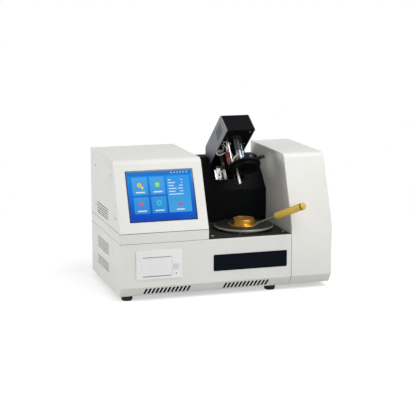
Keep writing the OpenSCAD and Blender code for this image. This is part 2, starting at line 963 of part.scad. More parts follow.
module data_port() {
    flange_in = 6.5;
    flange_t = 1;
    wall = 1;
    deep = 9;
    color([0.7, 0.7, 0.7])
        difference() {
            union() {
                translate([port_x - port_w / 2 - flange_in, panel_y, rear_z - port_h / 2 - 2 * wall])
                    cube([port_w + 2 * flange_in, flange_t, port_h + 4 * wall]);
                translate([port_x - port_w / 2, panel_y - deep, rear_z - port_h / 2])
                    cube([port_w, deep + rear_proud, port_h]);
            }
            translate([port_x - port_w / 2 + wall, panel_y - deep / 2, rear_z - port_h / 2 + wall])
                cube([port_w - 2 * wall, deep, port_h - 2 * wall]);
        }
}

module earth_terminal() {
    nut_t = 2;
    stud_back = 10;
    color([0.8, 0.65, 0.3])
        translate([earth_x, 0, rear_z])
            rotate([-90, 0, 0]) {
                translate([0, 0, panel_y - stud_back])
                    cylinder(r = earth_r, h = stud_back + sheet + rear_proud);
                for (z = [panel_y, panel_y - sheet - nut_t])
                    translate([0, 0, z])
                        cylinder(r = 2 * earth_r, h = nut_t, $fn = 6);
            }
}

fan_hub_d = 26;
fan_pin_r = 1.5;
fan_plate_t = 2;

module fan_frame() {
    arm_w = 3;
    y0 = panel_y - sheet - fan_deep;
    color([0.12, 0.12, 0.12]) {
        difference() {
            translate([fan_x - fan_size / 2, y0, fan_z - fan_size / 2])
                cube([fan_size, fan_deep, fan_size]);
            translate([fan_x, y0 - 1, fan_z])
                rotate([-90, 0, 0])
                    cylinder(d = fan_bore, h = fan_deep + 2);
        }
        translate([fan_x, y0, fan_z])
            rotate([-90, 0, 0]) {
                cylinder(d = fan_hub_d + 2, h = fan_plate_t);
                for (a = [45:90:315])
                    rotate([0, 0, a])
                        translate([fan_hub_d / 2 - arm_w, -arm_w / 2, 0])
                            cube([(fan_bore - fan_hub_d) / 2 + arm_w + 2, arm_w, fan_plate_t]);
                cylinder(r = fan_pin_r, h = fan_deep - 5);
            }
    }
}

module fan_rotor() {
    hub_h = fan_deep - 4;
    blade_t = 1.4;
    blade_pitch = 38;
    blades = 7;
    y0 = panel_y - sheet - fan_deep + fan_plate_t + 2 * fit;
    color([0.15, 0.15, 0.15])
        translate([fan_x, y0, fan_z])
            rotate([-90, 0, 0])
                difference() {
                    union() {
                        cylinder(d = fan_hub_d, h = hub_h);
                        intersection() {
                            cylinder(d = fan_bore - 2, h = hub_h);
                            for (i = [0:blades - 1])
                                rotate([0, 0, i * 360 / blades])
                                    translate([fan_hub_d / 2 - 2, 0, hub_h / 2])
                                        rotate([blade_pitch, 0, 0])
                                            cube([fan_bore / 2, fan_deep, blade_t]);
                        }
                    }
                    translate([0, 0, -1])
                        cylinder(r = fan_pin_r + running, h = hub_h - 2);
                }
}

module fan_guard() {
    wire_d = 1.5;
    ring_step = 14;
    ear = 6;
    color([0.75, 0.75, 0.75])
        translate([fan_x, panel_y, fan_z])
            rotate([-90, 0, 0]) {
                for (i = [0:3])
                    difference() {
                        cylinder(d = fan_bore + 4 - i * ring_step, h = wire_d);
                        translate([0, 0, -1])
                            cylinder(d = fan_bore + 4 - i * ring_step - 2 * wire_d, h = wire_d + 2);
                    }
                for (a = [45, 135])
                    rotate([0, 0, a])
                        translate([-fan_size / 2 - ear, -wire_d / 2, 0])
                            cube([fan_size + 2 * ear, wire_d, wire_d]);
            }
}

module at_cup() {
    translate([cup_x, cup_y, 0])
        children();
}

can_wall = 1;
can_z = well_z - 9;

module stove_can() {
    r = can_r + can_flange;
    flange_top = deck_z + 1.2;
    color([0.7, 0.7, 0.7])
        at_cup()
            rotate_extrude()
                polygon([
                    [0, can_z], [can_r, can_z], [can_r, deck_z], [r, deck_z], [r, flange_top],
                    [can_r - can_wall, flange_top], [can_r - can_wall, can_z + can_wall],
                    [0, can_z + can_wall]
                ]);
}

module stove_insulation() {
    r = well_r + well_wall + band_t + 0.5;
    color([0.9, 0.9, 0.85])
        at_cup()
            rotate_extrude()
                polygon([
                    [0, can_z + can_wall], [can_r - can_wall, can_z + can_wall], [can_r - can_wall, deck_z],
                    [r, deck_z], [r, well_z], [0, well_z]
                ]);
}

module stove_well() {
    r = well_r + well_wall;
    color([0.55, 0.53, 0.5])
        at_cup()
            rotate_extrude()
                polygon([
                    [0, well_z], [r, well_z], [r, disc_z], [well_r, disc_z],
                    [well_r, well_z + well_floor], [0, well_z + well_floor]
                ]);
}

module heater_band() {
    r = well_r + well_wall;
    low = well_z + well_floor;
    high = deck_z - 5;
    color([0.5, 0.45, 0.35])
        at_cup()
            rotate_extrude()
                polygon([[r, low], [r + band_t, low], [r + band_t, high], [r, high]]);
}

standoff_d = 9;
standoff_r = disc_d / 2 - standoff_d;
standoff_at = [-117, 20, 140];

module stove_disc() {
    edge = 1;
    r = disc_d / 2;
    color([0.17, 0.18, 0.17])
        at_cup()
            rotate_extrude()
                polygon([
                    [disc_hole_r, disc_z], [r - edge, disc_z], [r, disc_z + edge],
                    [r, seat_z - edge], [r - edge, seat_z], [disc_hole_r, seat_z]
                ]);
}

module disc_standoffs() {
    color([0.8, 0.8, 0.82])
        at_cup()
            for (a = standoff_at)
                rotate([0, 0, a])
                    translate([standoff_r, 0, deck_z])
                    cylinder(d = standoff_d, h = disc_gap);
}

module test_cup() {
    r = cup_bore / 2;
    lip = 0.6;
    mark = 0.5;
    fill_z = rim_z - fill_depth;
    seat_top = seat_z + flange_t;
    color([0.85, 0.62, 0.25])
        at_cup()
            rotate_extrude()
                polygon([
                    [0, cup_bottom], [cup_r - 2, cup_bottom], [cup_r, cup_bottom + 2], [cup_r, seat_z],
                    [flange_d / 2, seat_z], [flange_d / 2, seat_top], [cup_r, seat_top],
                    [cup_r, rim_z - lip], [cup_r - lip, rim_z], [r, rim_z],
                    [r, fill_z + mark], [r + mark, fill_z], [r, fill_z - mark],
                    [r, cup_bottom + cup_floor + 2], [r - 2, cup_bottom + cup_floor], [0, cup_bottom + cup_floor]
                ]);
}

// Places its children with +Z along the cup handle
module along_handle() {
    at_cup()
        rotate([0, 0, handle_turn])
            translate([rod_r0, 0, rod_z0])
                rotate([0, 90 - handle_rise, 0])
                    children();
}

tenon = 12;

module cup_handle() {
    color([0.72, 0.7, 0.66]) {
        along_handle() {
            cylinder(d1 = rod_d, d2 = 1.5 * rod_d, h = rod_len);
            cylinder(d = rod_d, h = rod_len + tenon);
        }
        at_cup()
            rotate([0, 0, handle_turn])
                translate([clip_r, -clip_w / 2, seat_z + flange_t])
                    cube([flange_d / 2 + 1.5 - clip_r, clip_w, clip_t]);
    }
}

module cup_grip() {
    r = grip_d / 2;
    end = grip_len;
    color([0.75, 0.62, 0.2])
        along_handle()
            translate([0, 0, rod_len])
                rotate_extrude()
                    polygon(concat(
                        [[rod_d / 2, 0], [r - 1.5, 0], [r, 1.5], [r, end - 9], [r - 0.7, end - 8], [r, end - 7]],
                        [for (a = [0:15:90])
                            [r - grip_round + grip_round * cos(a), end - grip_round + grip_round * sin(a)]],
                        [[0, end], [0, tenon], [rod_d / 2, tenon]]
                    ));
}

cheek_t = 4;
cheek_gap = 2;
cheek_reach = 12;
cheek_foot = 44;
bush_r = hinge_d / 2 + 3;

// Both hinge cheeks beside the arm
module at_cheeks() {
    for (x = [arm_x0 - cheek_gap - cheek_t, arm_x1 + cheek_gap])
        translate([x, 0, 0])
            children();
}

// The cheeks stand on the lower housing, inside the column
module hinge_cheeks() {
    foot_up = 24;
    rear = depth - flange_w - fit;
    color([0.3, 0.3, 0.32])
        difference() {
            at_cheeks()
                across(0, cheek_t)
                    polygon([
                        [pivot_y - cheek_foot, deck_z], [rear, deck_z], [rear, deck_z + foot_up],
                        [pivot_y + cheek_reach, deck_z + 2 * foot_up],
                        [pivot_y + cheek_reach, pivot_z + cheek_reach + 1],
                        [pivot_y - cheek_reach, pivot_z + cheek_reach + 1],
                        [pivot_y - cheek_reach - 4, pivot_z - 22], [pivot_y - cheek_foot, deck_z + foot_up]
                    ]);
            translate([arm_x0 - 2 * past, pivot_y, pivot_z])
                rotate([0, 90, 0])
                    cylinder(r = bush_r, h = arm_w + 4 * past);
        }
}

module hinge_bushes() {
    color([0.7, 0.5, 0.25])
        for (x = [arm_x0 - cheek_gap - cheek_t, arm_x1 + fit])
            translate([x, pivot_y, pivot_z])
                rotate([0, 90, 0])
                    difference() {
                        cylinder(r = bush_r, h = cheek_t + cheek_gap - fit);
                        translate([0, 0, -1])
                            cylinder(r = hinge_d / 2 + running, h = cheek_t + cheek_gap + 2);
                    }
}

gear_w = 26;

// Worm gearbox on the right cheek with its motor hanging below
module lift_gearmotor() {
    gear_len = 33;
    gear_h = 44;
    motor_d = 24;
    motor_h = 60;
    x0 = arm_x1 + cheek_gap + cheek_t;
    z0 = pivot_z - gear_h / 2 - 2;
    color([0.5, 0.5, 0.52])
        difference() {
            union() {
                translate([x0, pivot_y - gear_len / 2 - 3.5, z0])
                    cube([gear_w, gear_len, gear_h]);
                translate([x0 + gear_w / 2, pivot_y - 4, z0 - motor_h])
                    cylinder(d = motor_d, h = motor_h + 1);
            }
            translate([x0 - 1, pivot_y, pivot_z])
                rotate([0, 90, 0])
                    cylinder(r = hinge_d / 2 + running, h = gear_w + 2);
        }
}

module hinge_shaft() {
    x0 = arm_x0 - cheek_gap - cheek_t - 1;
    color([0.7, 0.7, 0.7])
        translate([x0, pivot_y, pivot_z])
            rotate([0, 90, 0])
                cylinder(d = hinge_d, h = arm_x1 + cheek_gap + cheek_t + gear_w - 2 - x0);
}

module arm_cover() {
    color([0.07, 0.085, 0.1])
        raised()
            difference() {
                across(arm_x0 + side_t, arm_x1 - side_t)
                    polygon(arm_outline);
                across(arm_x0, arm_x1)
                    polygon(inset(arm_outline, sheet));
                // Open underside, closed by the base plate
                translate([arm_x0, arm_front - past, pivot_z - 4 * past])
                    cube([arm_w, pivot_y, arm_z + plate_t - pivot_z + 4 * past]);
            }
}

arm_slots = 12;
arm_slot_w = 2;
arm_slot_in = 14;

module arm_sides() {
    color([0.5, 0.51, 0.53])
        raised()
            difference() {
                for (x = [arm_x0, arm_x1 - side_t])
                    across(x, x + side_t)
                        union() {
                            polygon(arm_outline);
                            translate([pivot_y, pivot_z])
                                circle(r = ear_r);
                        }
                translate([arm_x0 - 1, pivot_y, pivot_z])
                    rotate([0, 90, 0])
                        cylinder(d = hinge_d, h = arm_w + 2);
                for (i = [0:arm_slots - 1])
                    translate([
                        arm_x0 - 1, arm_front + arm_lean + past + 2 * i * arm_slot_w, arm_z + arm_slot_in
                    ])
                        cube([arm_w + 2, arm_slot_w, arm_h - 2 * arm_slot_in]);
            }
}

module arm_base_plate() {
    color([0.06, 0.06, 0.06])
        raised()
            difference() {
                intersection() {
                    across(arm_x0 + side_t, arm_x1 - side_t)
                        polygon(arm_outline);
                    translate([arm_x0, 0, arm_z])
                        cube([arm_w, pivot_y - 38, plate_t]);
                }
                translate([mech_x, mech_y, arm_z - 1])
                    cylinder(r = stirrer_d / 2 + 3, h = plate_t + 2);
                // Cable hole
                translate([cup_x + 14, cup_y + arm_w / 2 + 9, arm_z - 1])
                    cylinder(r = 6, h = plate_t + 2);
            }
}

// Shutter drive on its leg, clear of the swing of the shutter grip
drive_at = [19, 5];
drive_r = 12.5;
drive_h = 13;
drive_up = 14;
leg_at = [29, 19];
leg_r = 3;

// Stirrer motor on the arm base plate, and the drive of the shutter on the lid
module lid_drives() {
    motor_r = 15;
    motor_h = 26;
    color([0.3, 0.3, 0.32])
        raised() {
            translate([mech_x, mech_y, arm_z + plate_t]) {
                cylinder(r = motor_r, h = motor_h);
                cylinder(r = motor_r / 2, h = motor_h + 4);
            }
            at_cup()
                translate([0, 0, lid_top]) {
                    translate([drive_at[0], drive_at[1], drive_up])
                        rotate_extrude()
                            polygon([
                                [0, 0], [drive_r, 0], [drive_r, drive_h - 2], [drive_r - 2, drive_h], [0, drive_h]
                            ]);
                    translate([leg_at[0], leg_at[1], 0])
                        cylinder(r = leg_r, h = drive_up + drive_h / 2);
                    translate([drive_at[0], drive_at[1], drive_up + 1])
                        rotate([0, 0, atan2(leg_at[1] - drive_at[1], leg_at[0] - drive_at[0])])
                            translate([0, 1 - leg_r, 0])
                                cube([norm(leg_at - drive_at), 2 * leg_r - 2, drive_h / 2 - 2]);
                }
        }
}

module stirrer_tube() {
    bore = stirrer_d / 2 + running;
    r = tube_d / 2;
    rim = 5;
    rim_t = 4;
    bearing_top = lid_top + 12;
    color([0.2, 0.21, 0.22])
        raised()
            translate([mech_x, mech_y, 0])
                rotate_extrude()
                    polygon([
                        [bore, lid_top], [boss_r, lid_top], [boss_r, tube_z], [r, tube_z],
                        [r, arm_z - rim_t], [r + rim, arm_z - rim_t], [r + rim, arm_z],
                        [bore + 2, arm_z], [bore + 2, bearing_top], [bore, bearing_top]
                    ]);
}

paddle_deep = 33;
paddle_apart = 17;
paddle_w = 6;
paddle_t = 0.8;

module stirrer_shaft() {
    low = lid_z - paddle_deep - 2;
    color([0.72, 0.72, 0.72])
        raised()
            translate([mech_x, mech_y, 0]) {
                translate([0, 0, low])
                    cylinder(d = stirrer_d, h = arm_z + plate_t - fit - low);
                for (z = [low + paddle_w / 2, low + paddle_w / 2 + paddle_apart], a = [0, 180])
                    translate([0, 0, z])
                        rotate([0, 0, a])
                            rotate([45, 0, 0])
                                translate([0, -paddle_w / 2, -paddle_t / 2])
                                    cube([paddle_r, paddle_w, paddle_t]);
            }
}

// A sector of a ring around the origin
module ring_sector(r0, r1, a0, a1) {
    far = 2 * r1;
    mid = (a0 + a1) / 2;
    intersection() {
        difference() {
            circle(r = r1);
            circle(r = r0);
        }
        polygon([
            [0, 0], far * [cos(a0), sin(a0)], far * [cos(mid), sin(mid)], far * [cos(a1), sin(a1)]
        ]);
    }
}

module lid_port(at, half) {
    ring_sector(port_in, port_out, at - half, at + half);
}

probe_at = [[-18, 8], [-13, 15.5]];
probe_r = [2.3, 1.8];
probe_deep = [probe_len, probe_len - 5];
probe_up = 14;

module lid_plate() {
    color([0.09, 0.09, 0.1])
        raised()
            difference() {
                at_cup()
                    union() {
                        translate([0, 0, lid_z])
                            cylinder(r = lid_r, h = lid_t);
                        rotate_extrude()
                            polygon([
                                [collar_top_r, lid_z], [collar_low_r, lid_z - collar_h],
                                [collar_r_max, lid_z - collar_h], [collar_r_max, lid_z]
                            ]);
                    }
                translate([mech_x, mech_y, lid_z - 1]) {
                    cylinder(r = stirrer_d / 2 + 0.4, h = lid_t + 2);
                    linear_extrude(lid_t + 2) {
                        lid_port(-90, port_a);
                        lid_port(port_b_at, port_b);
                        lid_port(port_c_at, port_b);
                    }
                }
                at_cup()
                    for (i = [0:1])
                        translate([probe_at[i][0], probe_at[i][1], lid_z - 1])
                            cylinder(r = probe_r[i], h = lid_t + 2);
            }
}

post_r = 3;
post_at = [[8.7, 18.7], [-22, 25]];
strap_x = -28;
strap_y = 9;
strap_w = 9;
strap_t = 2;

// Two round posts and a flat strap that carry the lid under the arm
module lid_posts() {
    color([0.75, 0.77, 0.78])
        raised()
            at_cup() {
                for (at = post_at)
                    translate([at[0], at[1], lid_top])
                        cylinder(r = post_r, h = arm_z - lid_top);
                translate([strap_x, strap_y - strap_w / 2, lid_top])
                    cube([strap_t, strap_w, arm_z - lid_top]);
            }
}

shutter_z = lid_top + 0.1;
ear_h = 9;
ear_w = 8;
ear_t = 5;
grip_rod_r = 2;
grip_rod_z = ear_h - 3;
knob_hole = knob_len - 7;

// Shutter disc sector with two ports, and the ear that holds the grip rod
module shutter_plate() {
    color([0.55, 0.56, 0.57])
        raised()
            translate([mech_x, mech_y, shutter_z]) {
                linear_extrude(shutter_t)
                    difference() {
                        union() {
                            circle(r = hub_r);
                            ring_sector(boss_r, sector_r, port_b_at - port_b - 5, port_c_at + port_b + 5);
                        }
                        circle(r = boss_r + 0.1);
                        lid_port(-90 - shutter_swing, port_a);
                        lid_port(port_c_at - shutter_swing, port_b);
                    }
                rotate([0, 0, grip_at]) {
                    translate([sector_r - ear_t, -ear_w / 2, shutter_t])
                        cube([ear_t, ear_w, ear_h]);
                    translate([sector_r - 1, 0, shutter_t + grip_rod_z])
                        rotate([0, 90, 0])
                            cylinder(r = grip_rod_r, h = knob_from + knob_hole + 1 - sector_r);
                }
            }
}

module shutter_grip() {
    r = knob_d / 2;
    round = 2;
    color([0.05, 0.05, 0.05])
        raised()
            translate([mech_x, mech_y, shutter_z + shutter_t + grip_rod_z])
                rotate([0, 0, grip_at])
                    translate([knob_from, 0, 0])
                        rotate([0, 90, 0])
                            rotate_extrude()
                                polygon(concat(
                                    [[grip_rod_r, 0], [r - 1, 0], [r, 1], [r, knob_len - round]],
                                    [for (a = [30:30:90])
                                        [r - round + round * cos(a), knob_len - round + round * sin(a)]],
                                    [[0, knob_len], [0, knob_hole + 1], [grip_rod_r, knob_hole + 1]]
                                ));
}

module at_igniter() {
    translate([igniter_x, igniter_y, igniter_z])
        children();
}

igniter_hub_w = 8;

// Lever with the electric igniter at its tip, drawn lifted
module igniter_lever() {
    bar_w = 4;
    bar_t = 3;
    tip_r = 0.9;
    holder_r = 1.8;
    holder_up = 6;
    color([0.8, 0.78, 0.72])
        raised()
            at_igniter()
                rotate([0, -igniter_swing, 0])
                    difference() {
                        union() {
                            translate([0, -bar_w / 2, -bar_t / 2])
                                cube([igniter_reach + bar_t / 2, bar_w, bar_t]);
                            translate([0, igniter_hub_w / 2, 0])
                                rotate([90, 0, 0])
                                    cylinder(r = bar_w, h = igniter_hub_w);
                            translate([igniter_reach, 0, -igniter_drop])
                                cylinder(r = tip_r, h = igniter_drop);
                            translate([igniter_reach, 0, -igniter_drop + holder_up])
                                cylinder(r = holder_r, h = igniter_drop - holder_up - 1);
                        }
                        translate([0, igniter_hub_w, 0])
                            rotate([90, 0, 0])
                                cylinder(r = igniter_pin / 2 + running, h = 2 * igniter_hub_w);
                    }
}

module igniter_bracket() {
    base_t = 1.5;
    cheek = 1.5;
    base_w = 6.5;
    half = igniter_hub_w / 2 + 0.3;
    color([0.55, 0.55, 0.56])
        raised()
            at_igniter() {
                translate([-base_w / 2, -half - cheek, lid_top - igniter_z])
                    cube([base_w, 2 * half + 2 * cheek, base_t]);
                for (y = [-half - cheek, half])
                    translate([-base_w / 2, y, lid_top - igniter_z])
                        cube([base_w, cheek, igniter_z - lid_top + base_w / 2]);
                translate([0, half + cheek, 0])
                    rotate([90, 0, 0])
                        cylinder(r = igniter_pin / 2, h = 2 * half + 2 * cheek);
            }
}

coil_r = 5.2;
coil_len = 34;
coil_up = 8;
coil_cap = 2;

// Ignition coil, held against the strap
module ignition_coil() {
    color([0.45, 0.16, 0.12])
        raised()
            at_cup()
                translate([strap_x - 0.3 - coil_r, strap_y, lid_top + coil_up]) {
                    cylinder(r = coil_r, h = coil_len);
                    translate([0, 0, -coil_cap])
                        cylinder(r = coil_r - 2.2, h = coil_len + 2 * coil_cap);
                }
}

// Thermometer and flash detector, each in a gland on the lid
module probes() {
    gland_w = 1.6;
    gland_h = 5;
    color([0.8, 0.78, 0.72])
        raised()
            at_cup()
                for (i = [0:1])
                    translate([probe_at[i][0], probe_at[i][1], 0]) {
                        translate([0, 0, lid_z - probe_deep[i]])
                            cylinder(r = probe_r[i], h = probe_deep[i] + lid_t + probe_up);
                        translate([0, 0, lid_top])
                            cylinder(r = probe_r[i] + gland_w, h = gland_h, $fn = 6);
                    }
}

fork_y = 64;
fork_z = 190;
fork_inner = 16;
fork_len = 24;
fork_deep = 9;
fork_t = 2;
tongue_w = 10;
tongue_len = 30;
hanger_w = 8;

// Sensor fork hanging from the arm beside the lid, with a round foot under its tongue
module sensor_fork() {
    hanger_x = hanger_w + 3;
    cross_t = 3;
    hole_r = 2.5;
    foot_r = 4;
    foot_len = 6;
    color([0.82, 0.82, 0.8])
        raised()
            translate([arm_x0 - hanger_w, cup_y + fork_y, fork_z]) {
                translate([hanger_x, 0, hanger_w])
                    cube([hanger_w, fork_t, arm_z - fork_z - hanger_w]);
                translate([-tongue_w / 2, 0, hanger_w - 2])
                    cube([hanger_x + hanger_w + tongue_w / 2, fork_t, hanger_w]);
                difference() {
                    translate([-tongue_w / 2, 0, hanger_w - tongue_len])
                        cube([tongue_w, fork_t, tongue_len]);
                    translate([0, -1, -tongue_len / 2 + 3])
                        rotate([-90, 0, 0])
                            cylinder(r = hole_r, h = fork_t + 2);
                }
                translate([-fork_inner / 2 - fork_t, -cross_t, -2 * cross_t])
                    cube([fork_inner + 2 * fork_t, cross_t, cross_t + 2]);
                for (x = [-fork_inner / 2 - fork_t, fork_inner / 2])
                    translate([x, -fork_deep, -fork_len])
                        cube([fork_t, fork_deep, fork_len - 1]);
                translate([0, fork_t / 2, hanger_w - tongue_len - foot_len])
                    cylinder(r = foot_r, h = foot_len);
            }
}

// A thin wire through points, as short rods with round joints
module wire(points, d) {
    for (i = [0:len(points) - 2])
        hull() {
            translate(points[i])
                sphere(d = d, $fn = 8);
            translate(points[i + 1])
                sphere(d = d, $fn = 8);
        }
}

// Points of an arch between two feet, rising by h and bowing sideways by b
function arch(p, q, h, b, steps = 8) =
    [for (i = [0:steps])
        let (s = i / steps)
        p + s * (q - p) + [0, b * sin(180 * s), h * sin(180 * s)]];

wire_d = 2;

// Wires from the probes and the coil up into the arm
module arm_wires() {
    up = wire_d / 2 + 0.1;
    probe_top = lid_top + probe_up + up;
    coil_top = lid_top + coil_up + coil_len + coil_cap + up;
    top = arm_z - up;
    color([0.7, 0.7, 0.66])
        raised()
            at_cup() {
                wire(arch([probe_at[0][0], probe_at[0][1], probe_top], [-30, 32, top], 12, -6), wire_d);
                wire(arch([probe_at[1][0], probe_at[1][1], probe_top], [-14, 34, top], 8, 6), wire_d);
                wire(arch([strap_x - 0.3 - coil_r, strap_y, coil_top], [-33, 24, top], 6, -14), wire_d);
            }
}

in_frame() base_shell();
in_frame() bottom_plates();
in_frame() rubber_feet();
in_frame() base_rear_panel();
in_frame() head_plinth();
in_frame() head_cover();
in_frame() head_rear_panel();
in_frame() pod_cover();
in_frame() pod_rear_panel();
in_frame() deck_plate();
in_frame() column_cover();
in_frame() cover_screws();
in_frame() touch_glass();
in_frame() display_module();
in_frame() main_board();
in_frame() nameplate();
in_frame() printer_bezel();
in_frame() printer_door();
in_frame() platen_roller();
in_frame() printer_body();
in_frame() paper_roll();
in_frame() feed_button();
in_frame() printer_led();
in_frame() power_supply();
in_frame() inlet_socket();
in_frame() power_rocker();
in_frame() data_port();
in_frame() earth_terminal();
in_frame() fan_frame();
in_frame() fan_rotor();
in_frame() fan_guard();
in_frame() stove_can();
in_frame() stove_insulation();
in_frame() stove_well();
in_frame() heater_band();
in_frame() stove_disc();
in_frame() disc_standoffs();
in_frame() test_cup();
in_frame() cup_handle();
in_frame() cup_grip();
in_frame() hinge_cheeks();
in_frame() hinge_bushes();
in_frame() lift_gearmotor();
in_frame() hinge_shaft();
in_frame() arm_cover();
in_frame() arm_sides();
in_frame() arm_base_plate();
in_frame() lid_drives();
in_frame() stirrer_tube();
in_frame() stirrer_shaft();
in_frame() lid_plate();
in_frame() lid_posts();
in_frame() shutter_plate();
in_frame() shutter_grip();
in_frame() igniter_lever();
in_frame() igniter_bracket();
in_frame() ignition_coil();
in_frame() probes();
in_frame() sensor_fork();
in_frame() arm_wires();
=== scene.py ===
import bmesh
import bpy
import json
import math
from mathutils import Matrix, Vector


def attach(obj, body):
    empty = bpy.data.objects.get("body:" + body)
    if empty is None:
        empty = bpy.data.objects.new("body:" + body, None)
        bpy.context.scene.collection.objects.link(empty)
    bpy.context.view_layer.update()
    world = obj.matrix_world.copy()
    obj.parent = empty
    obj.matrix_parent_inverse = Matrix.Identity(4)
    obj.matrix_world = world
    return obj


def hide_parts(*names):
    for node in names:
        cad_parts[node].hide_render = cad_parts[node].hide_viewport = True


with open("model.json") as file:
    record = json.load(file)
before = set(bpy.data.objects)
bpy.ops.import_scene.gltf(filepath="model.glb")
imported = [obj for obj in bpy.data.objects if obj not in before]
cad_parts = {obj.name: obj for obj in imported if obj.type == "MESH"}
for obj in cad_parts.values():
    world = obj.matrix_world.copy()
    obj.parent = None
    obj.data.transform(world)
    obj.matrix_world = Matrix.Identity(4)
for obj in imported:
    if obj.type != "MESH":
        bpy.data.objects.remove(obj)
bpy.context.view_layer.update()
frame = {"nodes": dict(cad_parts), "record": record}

# A closed-cup flash point tester on a white bench, with the lift arm raised over the stove.
# Sizes are in millimetres from the left front corner of the housing; place() gives metres in the frame.
mm = 0.001
frameShift = (265.0, 136.5666)
armTurn = {"angle": 37.0, "pivotY": 292.0, "pivotZ": 236.0}
cupAxis = (337.0, 101.0)
lidTop = 169.8
slotOf = {row["node"]: row["material_slot"] for row in frame["record"]["subparts"]}


def place(x, y, z):
    return Vector(((x - frameShift[0]) * mm, (y - frameShift[1]) * mm, z * mm))


def raisedMatrix():
    pivot = place(frameShift[0], armTurn["pivotY"], armTurn["pivotZ"])
    turn = Matrix.Rotation(math.radians(-armTurn["angle"]), 4, "X")
    return Matrix.Translation(pivot) @ turn @ Matrix.Translation(-pivot)


armUp = raisedMatrix()
lidFrame = armUp @ Matrix.Translation(place(cupAxis[0], cupAxis[1], lidTop))
stoveFrame = Matrix.Translation(place(cupAxis[0], cupAxis[1], 0))


# camera
view = {"turn": 17.28, "down": 11.0, "distance": 3.241263, "lens": 114.2523}
turn, down = math.radians(view["turn"]), math.radians(view["down"])
look = Vector((math.sin(turn) * math.cos(down), math.cos(turn) * math.cos(down), -math.sin(down)))
camera = bpy.data.objects.new("photoCamera", bpy.data.cameras.new("photoCamera"))
bpy.context.scene.collection.objects.link(camera)
camera.data.lens = view["lens"]
camera.data.sensor_width = 36
camera.data.clip_start = 0.05
camera.data.clip_end = 60
camera.location = place(250.865, 120, 192.03) - look * view["distance"]
camera.rotation_euler = look.to_track_quat("-Z", "Y").to_euler()
bpy.context.scene.camera = camera
bpy.context.scene.view_settings.view_transform = "Standard"
print("camera placed")


# node helpers
def addNode(tree, kind, inputs=None, **settings):
    node = tree.nodes.new(kind)
    for key, value in settings.items():
        setattr(node, key, value)
    for key, value in (inputs or {}).items():
        if isinstance(value, bpy.types.NodeSocket):
            tree.links.new(value, node.inputs[key])
        else:
            node.inputs[key].default_value = value
    return node


def newTree(name, kind, inputs, outputs):
    tree = bpy.data.node_groups.new(name, kind)
    for label, socketKind, value in inputs:
        socket = tree.interface.new_socket(name=label, in_out="INPUT", socket_type=socketKind)
        if value is not None:
            socket.default_value = value
    for label, socketKind in outputs:
        tree.interface.new_socket(name=label, in_out="OUTPUT", socket_type=socketKind)
    return tree, tree.nodes.new("NodeGroupInput").outputs, tree.nodes.new("NodeGroupOutput").inputs


def math2(tree, operation, a, b=0.0):
    return addNode(tree, "ShaderNodeMath", {0: a, 1: b}, operation=operation).outputs[0]


def blendColor(tree, factor, a, b, mode="MIX"):
    node = addNode(tree, "ShaderNodeMix", {0: factor, 6: a, 7: b}, data_type="RGBA", blend_type=mode)
    return node.outputs[2]


def noise(tree, vector, scale, detail=2.0, rough=0.5):
    node = addNode(tree, "ShaderNodeTexNoise", {"Vector": vector, "Scale": scale, "Detail": detail, "Roughness": rough})
    return node.outputs["Fac"]


def span(tree, value, low, high, toLow=0.0, toHigh=1.0):
    node = addNode(tree, "ShaderNodeMapRange", {0: value, 1: low, 2: high, 3: toLow, 4: toHigh})
    return node.outputs[0]


textureOutputs = [("Color", "NodeSocketColor"), ("Roughness", "NodeSocketFloat"), ("Height", "NodeSocketFloat")]


def linkTexture(tree, result, color, rough, height):
    for label, value in (("Color", color), ("Roughness", rough), ("Height", height)):
        tree.links.new(value, result[label])
    return tree


# sprayed paint: slow change of tone, fine peel, and a little dust that lies in patches
def makePaintGroup():
    tree, given, result = newTree(
        "sprayedPaint", "ShaderNodeTree",
        [("Vector", "NodeSocketVector", None), ("Base", "NodeSocketColor", (0.8, 0.8, 0.8, 1)),
         ("Shade", "NodeSocketColor", (0.7, 0.7, 0.7, 1)), ("Mottle", "NodeSocketFloat", 0.3),
         ("Peel Scale", "NodeSocketFloat", 900.0), ("Roughness", "NodeSocketFloat", 0.4)],
        textureOutputs)
    vector = given["Vector"]
    slow = span(tree, noise(tree, vector, 7.0, 3.0), 0.35, 0.7)
    fine = noise(tree, vector, 260.0, 2.0)
    patch = span(tree, noise(tree, vector, 34.0, 4.0, 0.65), 0.5, 0.78)
    tone = math2(tree, "MULTIPLY", math2(tree, "ADD", slow, math2(tree, "MULTIPLY", patch, 0.5)), given["Mottle"])
    color = blendColor(tree, tone, given["Base"], given["Shade"])
    peel = noise(tree, vector, given["Peel Scale"], 1.0)
    height = math2(tree, "ADD", peel, math2(tree, "MULTIPLY", fine, 0.5))
    rough = math2(tree, "ADD", given["Roughness"], span(tree, patch, 0.0, 1.0, -0.03, 0.12))
    return linkTexture(tree, result, color, rough, height)


